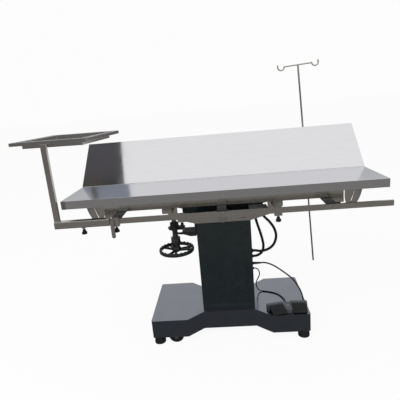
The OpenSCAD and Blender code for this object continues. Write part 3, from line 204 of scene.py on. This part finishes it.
def enamel(name, colour, roughness, ior, tone=(1, 1, 1)):
    """Sprayed paint: orange peel, faint dust and a slightly uneven gloss with its own tone."""
    finish = new_finish(name, colour, 0.0, roughness, IOR=ior, Specular_Tint=(*tone, 1))
    tint(finish, grain(finish, 35, detail=6), scaled(colour, 0.85), scaled(colour, 1.25))
    uneven = remap(finish, grain(finish, 12, detail=4), roughness - 0.04, roughness + 0.08)
    link(finish, uneven, "Roughness")
    relief(finish, (grain(finish, 420, detail=1), 0.00003))
    return finish


def moulded(name, colour, roughness, pebble=1500, height=0.00004):
    """Plastic or rubber with a fine moulded grain."""
    finish = new_finish(name, colour, 0.0, roughness)
    tint(finish, grain(finish, 60, detail=4), scaled(colour, 0.8), scaled(colour, 1.3))
    uneven = remap(finish, grain(finish, 25, detail=3), roughness - 0.06, roughness + 0.1)
    link(finish, uneven, "Roughness")
    relief(finish, (grain(finish, pebble, detail=2), height))
    return finish


def draw_out_gloss(finish, amount):
    """Spread a finish's reflections across its lines, which run along X."""
    finish.node_tree.nodes["Principled BSDF"].inputs["Anisotropic"].default_value = amount
    around = add_node(finish, "ShaderNodeTangent")
    around.direction_type = "RADIAL"
    around.axis = "X"
    link(finish, around.outputs["Tangent"], "Tangent")


SHEET = (0.735, 0.735, 0.755)
BAR = (0.60, 0.575, 0.53)
X, Y, Z = range(3)
sheet_x = brushed("sheet_steel_x", SHEET, 0.09, X)
draw_out_gloss(sheet_x, 0.9)
sheet_y = brushed("sheet_steel_y", SHEET, 0.15, Y, wave=0.0008)
bar_x = brushed("bar_steel_x", BAR, 0.24, X)
bar_y = brushed("bar_steel_y", BAR, 0.24, Y)
bar_z = brushed("bar_steel_z", BAR, 0.24, Z)
green = enamel("green_enamel", (0.0095, 0.0155, 0.0155), 0.22, 1.65, tone=(0.85, 0.97, 1.0))
base_enamel = enamel("base_enamel", (0.007, 0.008, 0.010), 0.16, 2.75, tone=(0.83, 0.89, 1.0))
grey = enamel("grey_enamel", (0.3, 0.31, 0.32), 0.4, 1.5)
black_enamel = enamel("black_enamel", (0.012, 0.013, 0.013), 0.35, 1.5)
plastic = moulded("switch_plastic", (0.007, 0.008, 0.010), 0.55)
wheel_plastic = moulded("wheel_plastic", (0.014, 0.015, 0.016), 0.25, 300, 0.00003)
grey_plastic = moulded("box_plastic", (0.068, 0.074, 0.09), 0.45)
pads = moulded("glide_plastic", (0.78, 0.77, 0.71), 0.5)
rubber = moulded("moulded_rubber", (0.008, 0.0085, 0.009), 0.6, 900, 0.00005)
zinc = brushed("zinc_plate", (0.50, 0.50, 0.49), 0.35, Z)
oiled = brushed("oiled_steel", (0.17, 0.16, 0.145), 0.4, Z)
bronze = brushed("nut_bronze", (0.50, 0.36, 0.17), 0.3, Z)

FINISH_OF = {
    "base_shell": base_enamel, "base_frame": grey, "wheel_brackets": zinc,
    "column_casing": green, "column_seal": rubber, "mast_outer": grey, "glide_pads": pads,
    "actuator_body": plastic, "control_box": grey_plastic, "power_inlet": plastic,
    "cable_glands": plastic, "switch_housing": grey_plastic, "foot_front_left": rubber,
    "foot_front_right": rubber, "foot_rear_left": rubber, "foot_rear_right": rubber,
    "wheel_front": rubber, "wheel_rear": rubber, "pedal_left": plastic, "pedal_right": plastic,
    "mast_inner": bar_z, "actuator_rod": zinc, "head_block": green, "tilt_shaft": zinc,
    "screw_bracket": black_enamel, "junction_box": plastic, "screw_block": black_enamel,
    "tilt_screw": oiled, "handwheel": wheel_plastic, "screw_nut": bronze,
    "saddle_plates": bar_x, "under_frame": bar_y, "side_tubes": bar_x, "side_rails": bar_x,
    "rail_arms": black_enamel, "frame_bolts": zinc, "hinge_rod": bar_x,
    "panel_front": sheet_x, "quadrants_front": bar_z, "panel_rear": sheet_x,
    "quadrants_rear": bar_z, "tray_arm": bar_x, "tray_arm_knob": plastic, "tray_ring": bar_x,
    "tray_pan": sheet_y, "iv_pole": bar_z, "iv_socket": bar_z, "iv_pole_knob": plastic,
    "iv_clamp": bar_x, "iv_clamp_knob": plastic, "clamp_left": bar_z, "clamp_mid": bar_z,
    "clamp_right": bar_z, "clamp_left_knob": plastic, "clamp_mid_knob": plastic,
    "clamp_right_knob": plastic,
}


def paint(piece, finish):
    """Give a piece one finish."""
    piece.data.materials.clear()
    piece.data.materials.append(finish)


def add_piece(name, mesh, finish, body):
    """A new piece of the object, that rides on a body."""
    piece = bpy.data.objects.new(name, mesh)
    scene.collection.objects.link(piece)
    paint(piece, finish)
    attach(piece, body)
    return piece


# Hoses and leads, which come first: the routes are the ones in part.scad, in millimetres

HOSE_FRONT = [
    (150.5, -45, 441), (162, -45, 441), (176, -45, 438), (192, -45, 436),
    (210, -45, 438), (230, -45, 444), (248, -45, 455), (262, -45, 470),
    (271, -45, 488), (276, -45, 507), (277, -45, 527), (273, -45, 547),
    (266, -45, 566), (256, -45, 584), (244, -45, 601), (231, -45, 616),
    (220, -45, 628), (214, -45, 637), (212, -45, 643), (212, -45, 650),
]
HOSE_REAR = [
    (150.5, -15, 396), (159, -15, 396), (172, -15, 398), (184, -15, 403),
    (195, -15, 411), (203, -15, 422), (208, -15, 435), (210, -15, 449),
    (210, -15, 464), (208, -15, 480), (205, -15, 497), (201, -15, 514),
    (197, -15, 531), (192, -15, 549), (187, -15, 567), (182, -15, 585),
    (178, -15, 602), (175, -15, 618), (173, -15, 634), (173, -15, 650),
]
LEAD_UPPER = [
    (187.5, -50, 369), (202, -50, 369), (219, -50, 366), (236, -51, 360),
    (252, -52, 352), (268, -54, 342), (284, -56, 331), (299, -58, 319),
    (314, -60, 307), (329, -61, 294), (344, -61, 280), (358, -61, 264),
    (370, -60, 246), (381, -60, 227), (391, -60, 208), (399, -62, 190),
    (403, -66, 176), (405, -73, 164), (405, -84, 156), (405, -98, 154),
]
LEAD_LOWER = [
    (150.5, -50, 339), (158, -50, 339), (167, -50, 334), (174, -49, 325),
    (178, -47, 314), (179, -44, 302), (177, -40, 289), (173, -35, 276),
    (169, -28, 263), (165, -20, 250), (163, -10, 238), (162, 0, 226),
    (162, 10, 214), (163, 20, 201), (165, 29, 188), (168, 37, 175),
    (172, 44, 163), (178, 49, 153), (187, 51, 146), (199, 50, 143.5),
    (211, 47, 143.2), (223, 43, 143.2), (235, 38, 143.2), (247, 32, 143.2),
    (259, 25, 143.2), (270, 16, 143.2), (280, 5, 143.2), (289, -8, 143.2),
    (296, -22, 143.5), (301, -37, 145), (305, -52, 147.5), (307, -67, 150),
    (308, -82, 151.5), (308, -96, 152),
]
HOSE_D = 0.014
UPPER_LEAD_D = 0.008
LOWER_LEAD_D = 0.006
ROUTE_STEP = 0.004


def smooth_route(route, step):
    """Points about a step apart on one smooth curve through the route."""
    points = [Vector(p) / 1000 for p in route]
    ends = [2 * points[0] - points[1], *points, 2 * points[-1] - points[-2]]
    fine = []
    for a, b, c, d in zip(ends, ends[1:], ends[2:], ends[3:]):
        count = max(1, round((c - b).length / step))
        for i in range(count):
            t = i / count
            fine.append(0.5 * (2 * b + (c - a) * t + (2 * a - 5 * b + 4 * c - d) * t ** 2
                               + (3 * b - a - 3 * c + d) * t ** 3))
    return [*fine, points[-1]]


def turns(count):
    """The angles of that many even steps round a circle."""
    return [2 * math.pi * k / count for k in range(count)]


def around_z(radius, angle, z=0.0):
    """The point at that radius, angle and height about the upright axis."""
    return Vector((radius * math.cos(angle), radius * math.sin(angle), z))


def loft(bm, rings, closed=False):
    """Faces between rings of points, with a cap at each end if they don't close."""
    loops = [[bm.verts.new(point) for point in ring] for ring in rings]
    for low, high in zip(loops, loops[1:] + loops[:1] if closed else loops[1:]):
        for k in range(len(low)):
            n = (k + 1) % len(low)
            bm.faces.new((low[k], high[k], high[n], low[n]))
    if not closed:
        bm.faces.new(loops[0])
        bm.faces.new(reversed(loops[-1]))


def turned(bm, profile, at, sides=48):
    """A form turned about an upright axis through a point. profile is (radius, height) pairs."""
    loft(bm, [[at + around_z(r, a, z) for a in turns(sides)] for r, z in profile])


def sweep(bm, points, radius, sides=20):
    """A closed tube along the points."""
    rings, up = [], Vector((0, 0, 1))
    for i, point in enumerate(points):
        ahead = (points[min(i + 1, len(points) - 1)] - points[max(i - 1, 0)]).normalized()
        if abs(ahead.dot(up)) > 0.99:
            up = Vector((1, 0, 0))
        up = (up - up.dot(ahead) * ahead).normalized()
        side = ahead.cross(up)
        rings.append([
            point + radius * (math.cos(a) * up + math.sin(a) * side) for a in turns(sides)
        ])
    loft(bm, rings)


def finished(bm, name, smooth=40):
    """The mesh of a bmesh, with outward faces and smooth shading below an angle in degrees."""
    bmesh.ops.recalc_face_normals(bm, faces=bm.faces)
    for face in bm.faces:
        face.smooth = True
    for edge in bm.edges:
        edge.smooth = edge.calc_face_angle(0) < math.radians(smooth)
    mesh = bpy.data.meshes.new(name)
    bm.to_mesh(mesh)
    bm.free()
    return mesh


def make_cord(name, route, diameter, body):
    """One hose or lead along its route. Without a body it stretches from the base to the head."""
    points = smooth_route(route, ROUTE_STEP)
    bm = bmesh.new()
    sweep(bm, points, diameter / 2)
    piece = bpy.data.objects.new(name, finished(bm, name, 60))
    scene.collection.objects.link(piece)
    paint(piece, rubber)
    if body:
        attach(piece, body)
    else:
        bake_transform(piece)
    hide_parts(name.replace("_piece", ""))


make_cord("hose_front_piece", HOSE_FRONT, HOSE_D, None)
make_cord("hose_rear_piece", HOSE_REAR, HOSE_D, None)
make_cord("lead_upper_piece", LEAD_UPPER, UPPER_LEAD_D, "base")
make_cord("lead_lower_piece", LEAD_LOWER, LOWER_LEAD_D, "base")


# The solids' own finishes, which count where a solid shows as it is

for node, finish in FINISH_OF.items():
    paint(nodes[node], finish)


# CAD parts whose form is right, shown with their edges rounded

BODY_OF = {n: b for b, members in frame["record"]["behaviour"]["bodies"].items() for n in members}

# How far each part's edges are rounded, in millimetres

EDGE_OF = {
    "base_shell": 2.5, "base_frame": 1.5, "wheel_brackets": 0.6, "column_casing": 2.0,
    "column_seal": 0.5, "control_box": 1.5, "power_inlet": 0.8, "cable_glands": 0.6,
    "switch_housing": 1.6, "foot_front_left": 0.8, "foot_front_right": 0.8,
    "foot_rear_left": 0.8, "foot_rear_right": 0.8, "wheel_front": 1.0, "wheel_rear": 1.0,
    "pedal_left": 1.4, "pedal_right": 1.4, "mast_inner": 1.5, "head_block": 1.0,
    "tilt_shaft": 0.8, "screw_bracket": 0.8, "junction_box": 1.5, "screw_block": 1.0,
    "tilt_screw": 0.8, "screw_nut": 0.8, "saddle_plates": 0.7, "under_frame": 1.4,
    "side_tubes": 1.4, "side_rails": 2.2, "rail_arms": 0.7, "frame_bolts": 0.3,
    "panel_front": 1.2, "quadrants_front": 0.5, "panel_rear": 1.2, "quadrants_rear": 0.5,
    "tray_arm": 1.4, "tray_ring": 0.8, "tray_pan": 0.5, "iv_socket": 0.6, "iv_clamp": 0.8,
    "clamp_left": 0.8, "clamp_mid": 0.8, "clamp_right": 0.8, "tray_arm_knob": 0.8,
    "clamp_left_knob": 0.8, "clamp_mid_knob": 0.8, "clamp_right_knob": 0.8,
    "iv_clamp_knob": 0.8, "iv_pole_knob": 0.8,
}

# Radius of the folds in sheets and of the corners of square tubes, in millimetres

FOLD_OF = {
    "panel_front": 2.6, "panel_rear": 2.6, "base_shell": 3.5, "column_casing": 3.0,
    "side_tubes": 3.0, "tray_arm": 3.0, "under_frame": 3.0,
}

# A fold lies between two faces of at least this area, and this far in Y from the table's hinge

FOLD_AREA = 0.0022
FOLD_CLEAR = 0.012


def cad_bmesh(node):
    """A CAD node's mesh as whole faces: its triangles joined where they lie in one plane."""
    bm = bmesh.new()
    bm.from_mesh(nodes[node].data)
    bmesh.ops.remove_doubles(bm, verts=bm.verts, dist=0.000002)
    bmesh.ops.dissolve_limit(bm, angle_limit=math.radians(0.4), verts=bm.verts, edges=bm.edges)
    return bm


def is_fold(edge):
    """Whether the edge is a bend between two large faces."""
    return (
        len(edge.link_faces) == 2
        and min(face.calc_area() for face in edge.link_faces) > FOLD_AREA
        and math.radians(30) < edge.calc_face_angle(0) < math.radians(120)
        and max(abs(vert.co.y) for vert in edge.verts) > FOLD_CLEAR
    )


def soften(node, width, fold):
    """The CAD node with its edges rounded to that width, and its folds to theirs."""
    name = node + "_piece"
    bm = cad_bmesh(node)
    if fold:
        bmesh.ops.bevel(bm, geom=[edge for edge in bm.edges if is_fold(edge)], offset=fold,
                        segments=4, profile=0.5, affect="EDGES", clamp_overlap=True)
    piece = add_piece(name, finished(bm, name, 30), FINISH_OF[node], BODY_OF[node])
    bevel = piece.modifiers.new("rounded", "BEVEL")
    bevel.width = width
    bevel.segments = 2
    bevel.limit_method = "ANGLE"
    bevel.angle_limit = math.radians(32)
    flat = piece.modifiers.new("flat_faces", "WEIGHTED_NORMAL")
    flat.keep_sharp = True
    flat.weight = 100
    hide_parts(node)


for node, width in EDGE_OF.items():
    soften(node, width / 1000, FOLD_OF.get(node, 0) / 1000)


# Hinge between the panels: a barrel of short knuckles, which closes the seam

KNUCKLES = 48
KNUCKLE_RADIUS = 0.0069
GROOVE_RADIUS = 0.0061
GROOVE_HALF = 0.0005


def make_hinge():
    """The barrel, turned about the hinge's axis."""
    low, high = (Vector(v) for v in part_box("hinge_rod"))
    middle = (low + high) / 2
    step = (high.x - low.x) / KNUCKLES
    profile = [(0, GROOVE_RADIUS)]
    for i in range(KNUCKLES):
        profile += [
            (i * step + GROOVE_HALF, KNUCKLE_RADIUS),
            (i * step + step - GROOVE_HALF, KNUCKLE_RADIUS),
            (i * step + step, GROOVE_RADIUS),
        ]
    rings = []
    for along, radius in profile:
        at = Vector((low.x + along, middle.y, middle.z))
        rings.append([at + radius * Vector((0, math.cos(a), math.sin(a))) for a in turns(28)])
    bm = bmesh.new()
    loft(bm, rings)
    mesh = finished(bm, "hinge_rod_piece", 50)
    piece = add_piece("hinge_rod_piece", mesh, sheet_x, "table_frame")
    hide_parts("hinge_rod")


make_hinge()


# Handwheel, with a scalloped rim

RIM_RADIUS = 0.0885
RIM_HALF_WIDTH = 0.0065
RIM_HALF_HEIGHT = 0.011
RIM_STEPS = 288
SCALLOPS = 24
SCALLOP_DEPTH = 0.004
SPOKE_STEPS = 12


def squarish(across, up, count=24, power=0.62):
    """A rounded rectangle's (across, up) points, with those half sizes."""
    def eased(v):
        return math.copysign(abs(v) ** power, v)
    return [(across * eased(math.cos(a)), up * eased(math.sin(a))) for a in turns(count)]


def add_rim(bm, middle):
    """The rim, whose top dips between its scallops."""
    rings = []
    for a in turns(RIM_STEPS):
        dip = SCALLOP_DEPTH * (0.5 + 0.5 * math.cos(SCALLOPS * a))
        rings.append([
            middle + (RIM_RADIUS + x) * around_z(1, a)
            + Vector((0, 0, z - max(0.0, z / RIM_HALF_HEIGHT) * dip))
            for x, z in squarish(RIM_HALF_WIDTH, RIM_HALF_HEIGHT)
        ])
    loft(bm, rings, closed=True)


def add_spoke(bm, middle, angle):
    """One spoke from the hub to the rim, with a waist."""
    out, side = around_z(1, angle), Vector((-math.sin(angle), math.cos(angle), 0))
    rings = []
    for i in range(SPOKE_STEPS + 1):
        share = i / SPOKE_STEPS
        wide = 0.0085 - 0.0032 * math.sin(math.pi * share) ** 0.7
        tall = 0.0072 - 0.0014 * share
        at = middle + (0.018 + 0.066 * share) * out + Vector((0, 0, -0.0035 - 0.0015 * share))
        rings.append([at + x * side + Vector((0, 0, z)) for x, z in squarish(wide, tall, 16)])
    loft(bm, rings)


def make_handwheel():
    """The rim, a conical hub and three pairs of spokes."""
    low, high = (Vector(v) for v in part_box("handwheel"))
    middle = Vector(((low.x + high.x) / 2, (low.y + high.y) / 2, low.z + RIM_HALF_HEIGHT))
    bm = bmesh.new()
    add_rim(bm, middle)
    hub = high.z - middle.z
    turned(bm, [
        (0.012, -0.0105), (0.017, -0.0105), (0.021, -0.008), (0.025, -0.003), (0.026, 0.001),
        (0.0245, 0.006), (0.021, 0.014), (0.0185, 0.022), (0.018, 0.030), (0.018, hub - 0.002),
        (0.0172, hub - 0.0005), (0.0155, hub),
    ], middle)
    for pair in (0, 120, 240):
        for spread in (-14, 14):
            add_spoke(bm, middle, math.radians(pair - 105 + spread))
    mesh = finished(bm, "handwheel_piece")
    piece = add_piece("handwheel_piece", mesh, wheel_plastic, "handwheel")
    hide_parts("handwheel")


make_handwheel()


# Foot switch: ribbed treads on the pedals, and a screw in the middle of the housing

SWITCH_AT = Matrix.Translation((0.308, -0.112, 0.14)) @ Matrix.Rotation(math.radians(4), 4, "Z")
PEDAL_OUT = 0.062
PEDAL_BACK = -0.026
PEDAL_TURN = 8

# A pedal's top starts behind its pins, at its full height, and falls over its run

PEDAL_START = 0.008
PEDAL_TOP = 0.027
PEDAL_RUN = 0.064
PEDAL_FALL = 0.014

# Ribs: their number, place, radius, and how thick they are at each point along them

RIBS = 13
RIB_START = 0.0135
RIB_STEP = 0.0042
RIB_RADIUS = 0.0014
RIB_SUNK = 0.0003
RIB_PROFILE = (
    (-0.0325, 0.35), (-0.0318, 0.8), (-0.0308, 1), (0.0308, 1), (0.0318, 0.8), (0.0325, 0.35))


def make_tread(name, side):
    """Rounded ribs across a pedal's top: side -1 is the left pedal."""
    place = (SWITCH_AT @ Matrix.Translation((side * PEDAL_OUT, PEDAL_BACK, 0))
             @ Matrix.Rotation(math.radians(-side * PEDAL_TURN), 4, "Z"))
    bm = bmesh.new()
    for i in range(RIBS):
        back = RIB_START + RIB_STEP * i
        top = PEDAL_TOP - PEDAL_FALL * (back - PEDAL_START) / PEDAL_RUN
        centre = Vector((0, -back, top - RIB_SUNK))
        loft(bm, [
            [place @ (centre + Vector((x, grow * y, grow * z)))
             for y, z in squarish(RIB_RADIUS, RIB_RADIUS, 12, 1)]
            for x, grow in RIB_PROFILE
        ])
    add_piece(name, finished(bm, name), rubber, "pedal_left" if side < 0 else "pedal_right")


# A screw head and its hexagonal socket, in radii of the head

SCREW_PROFILE = ((1.0, -0.2), (1.0, 0.25), (0.93, 0.42), (0.75, 0.55), (0.58, 0.6), (0.52, 0.58))
SOCKET_CORNER = 0.46
SOCKET_HEIGHTS = (0.55, 0.05)


def hexagon(angle):
    """How far out a hexagon's edge lies at an angle, when its corners lie at 1."""
    return math.cos(math.pi / 6) / math.cos((angle + math.pi / 6) % (math.pi / 3) - math.pi / 6)


def make_screw(name, at, radius, finish, body):
    """A domed screw head that looks up, with a hexagonal socket."""
    rings = [
        [at + radius * around_z(r, a, z) for a in turns(36)] for r, z in SCREW_PROFILE
    ] + [
        [at + radius * around_z(SOCKET_CORNER, a) * hexagon(a) + Vector((0, 0, radius * z))
         for a in turns(36)]
        for z in SOCKET_HEIGHTS
    ]
    bm = bmesh.new()
    loft(bm, rings)
    add_piece(name, finished(bm, name), finish, body)


make_tread("tread_left", -1)
make_tread("tread_right", 1)
make_screw("switch_screw", SWITCH_AT @ Vector((0, -0.040, 0.0208)), 0.0045, zinc, "base")


# Stage: pale floor, white world, and cloths that only reflections see

FLOOR_COLOUR = (0.9, 0.9, 0.9)
FLOOR_RADIUS = 60
FLOOR_GLOW = 0.93
WORLD_LIGHT = 0.6
WORLD_WHITE = 0.98
CLOTH_Z = 0.0005
NEAR_CLOTH_RADIUS = 1.3
WALL_RADIUS = 9
LOW_WALL_Z = 1.9
MID_WALL_Z = 3.6
CEILING_Z = 3

# The ceiling cloths below paint a dark end into the sheets' reflections. Its edge is a slanted line:
# its X at Y = 0, and its slope

DARK_EDGE_X = -1.0767
DARK_EDGE_SLOPE = 0.0545


def glow(name, colour):
    """A plain glowing material, for a stage cloth."""
    finish = bpy.data.materials.new(name)
    finish.use_nodes = True
    tree = finish.node_tree
    tree.nodes.clear()
    light = tree.nodes.new("ShaderNodeEmission")
    light.inputs["Color"].default_value = (*colour, 1)
    light.inputs["Strength"].default_value = 1.0
    out = tree.nodes.new("ShaderNodeOutputMaterial")
    tree.links.new(light.outputs["Emission"], out.inputs["Surface"])
    return finish


def add_stage(name, corners, faces, finish):
    """A piece of the stage."""
    mesh = bpy.data.meshes.new(name)
    mesh.from_pydata(corners, [], faces)
    piece = bpy.data.objects.new(name, mesh)
    scene.collection.objects.link(piece)
    paint(piece, finish)
    return piece


def add_cloth(name, corners, faces, colour):
    """A glowing piece of the stage that only reflections see."""
    piece = add_stage(name, corners, faces, glow(name, colour))
    piece.visible_camera = False
    piece.visible_diffuse = False
    piece.visible_transmission = False
    piece.visible_volume_scatter = False
    piece.visible_shadow = False


def ring_band(r0, z0, r1, z1, count=48):
    """Corners and faces of a band between two circles round the object."""
    corners, faces = [], []
    for k, a in enumerate(turns(count)):
        corners += [tuple(around_z(r, a, z)) for r, z in ((r0, z0), (r1, z1))]
        i, j = 2 * k, 2 * ((k + 1) % count)
        faces.append((i, j, j + 1, i + 1))
    return corners, faces


def direct_rays(tree):
    """A value that is 1 for rays of the camera, of gloss and of glass, and 0 for the rest."""
    rays = tree.nodes.new("ShaderNodeLightPath")
    value = rays.outputs["Is Camera Ray"]
    for kind in ("Is Glossy Ray", "Is Transmission Ray"):
        either = tree.nodes.new("ShaderNodeMath")
        either.operation = "MAXIMUM"
        tree.links.new(value, either.inputs[0])
        tree.links.new(rays.outputs[kind], either.inputs[1])
        value = either.outputs[0]
    return value


def make_floor():
    """Pale floor that keeps the object's shadow, and is close to white for direct rays."""
    finish = bpy.data.materials.new("floor_white")
    finish.use_nodes = True
    tree = finish.node_tree
    plain = tree.nodes["Principled BSDF"]
    plain.inputs["Base Color"].default_value = (*FLOOR_COLOUR, 1)
    plain.inputs["Roughness"].default_value = 1
    plain.inputs["Specular IOR Level"].default_value = 0
    bright = tree.nodes.new("ShaderNodeEmission")
    share = tree.nodes.new("ShaderNodeMath")
    share.operation = "MULTIPLY"
    share.inputs[1].default_value = FLOOR_GLOW
    tree.links.new(direct_rays(tree), share.inputs[0])
    mix = tree.nodes.new("ShaderNodeMixShader")
    tree.links.new(share.outputs[0], mix.inputs[0])
    tree.links.new(plain.outputs[0], mix.inputs[1])
    tree.links.new(bright.outputs[0], mix.inputs[2])
    tree.links.new(mix.outputs[0], tree.nodes["Material Output"].inputs["Surface"])
    add_stage("floor", *ring_band(0.001, 0, FLOOR_RADIUS, 0), finish)


def make_world():
    """White for direct rays, and a plain level for the rest."""
    world = bpy.data.worlds.new("studio")
    scene.world = world
    world.use_nodes = True
    tree = world.node_tree
    tree.nodes.clear()
    level = tree.nodes.new("ShaderNodeMapRange")
    level.inputs["To Min"].default_value = WORLD_LIGHT
    level.inputs["To Max"].default_value = WORLD_WHITE
    tree.links.new(direct_rays(tree), level.inputs["Value"])
    back = tree.nodes.new("ShaderNodeBackground")
    back.inputs["Color"].default_value = (1, 1, 1, 1)
    tree.links.new(level.outputs["Result"], back.inputs["Strength"])
    out = tree.nodes.new("ShaderNodeOutputWorld")
    tree.links.new(back.outputs[0], out.inputs["Surface"])


def add_lamp(name, at, aim, size, power):
    """A soft box, which reflections don't show."""
    data = bpy.data.lights.new(name, "AREA")
    data.shape = "SQUARE"
    data.size = size
    data.energy = power
    lamp = bpy.data.objects.new(name, data)
    lamp.location = at
    lamp.rotation_euler = (Vector(aim) - Vector(at)).to_track_quat("-Z", "Y").to_euler()
    lamp.visible_glossy = False
    lamp.visible_camera = False
    scene.collection.objects.link(lamp)


make_floor()
make_world()
add_lamp("key", (-1.6, -2.6, 3.6), (0, 0, 0.7), 2.5, 90)

# Floor and walls of the room that the metal mirrors: (radius, height) at each edge of a band

for name, band, colour in (
    # The near floor cloth is darker than the far one: painted shade of the floor round the object,
    # as the metal mirrors it
    ("shaded_near_floor_cloth", (0.01, CLOTH_Z, NEAR_CLOTH_RADIUS, CLOTH_Z), (0.105, 0.107, 0.115)),
    ("floor_cloth", (NEAR_CLOTH_RADIUS, CLOTH_Z, WALL_RADIUS, CLOTH_Z), (0.212, 0.207, 0.2)),
    ("low_wall", (WALL_RADIUS, 0, WALL_RADIUS, LOW_WALL_Z), (0.13, 0.12, 0.11)),
    ("mid_wall", (WALL_RADIUS, LOW_WALL_Z, WALL_RADIUS, MID_WALL_Z), (0.50, 0.51, 0.53)),
):
    add_cloth(name, *ring_band(*band), colour)

# Its ceiling, glowing bands left of the dark end's edge that paint the sheets' reflections: from one
# Y to another, and how far out from the edge

for name, y0, y1, out0, out1, colour in (
    ("ceiling_edge", -1.6, -0.36, 0, 0.07, (0.125, 0.125, 0.14)),
    ("ceiling_dark", -1.6, -0.36, 0.07, 0.24, (0.055, 0.053, 0.051)),
    ("ceiling_brown", -1.6, -0.36, 0.24, 5, (0.075, 0.064, 0.051)),
    ("ceiling_middle", -0.36, 0.3, 0, 5, (0.088, 0.084, 0.090)),
    ("ceiling_back", 0.3, 1.6, 0, 0.38, (0.31, 0.345, 0.40)),
    ("ceiling_stripe", 0.3, 1.6, 0.38, 0.45, (0.13, 0.13, 0.125)),
    ("ceiling_end", 0.3, 1.6, 0.45, 5, (0.37, 0.40, 0.46)),
):
    corners = [
        (DARK_EDGE_X + DARK_EDGE_SLOPE * y - out, y, CEILING_Z)
        for y, out in ((y0, out0), (y1, out0), (y1, out1), (y0, out1))
    ]
    add_cloth(name, corners, [(0, 1, 2, 3)], colour)

# The photographed sheet doesn't mirror the tray, so reflections leave it out

for name in ("tray_ring_piece", "tray_pan_piece"):
    bpy.data.objects[name].visible_glossy = False

scene.view_settings.view_transform = "Standard"
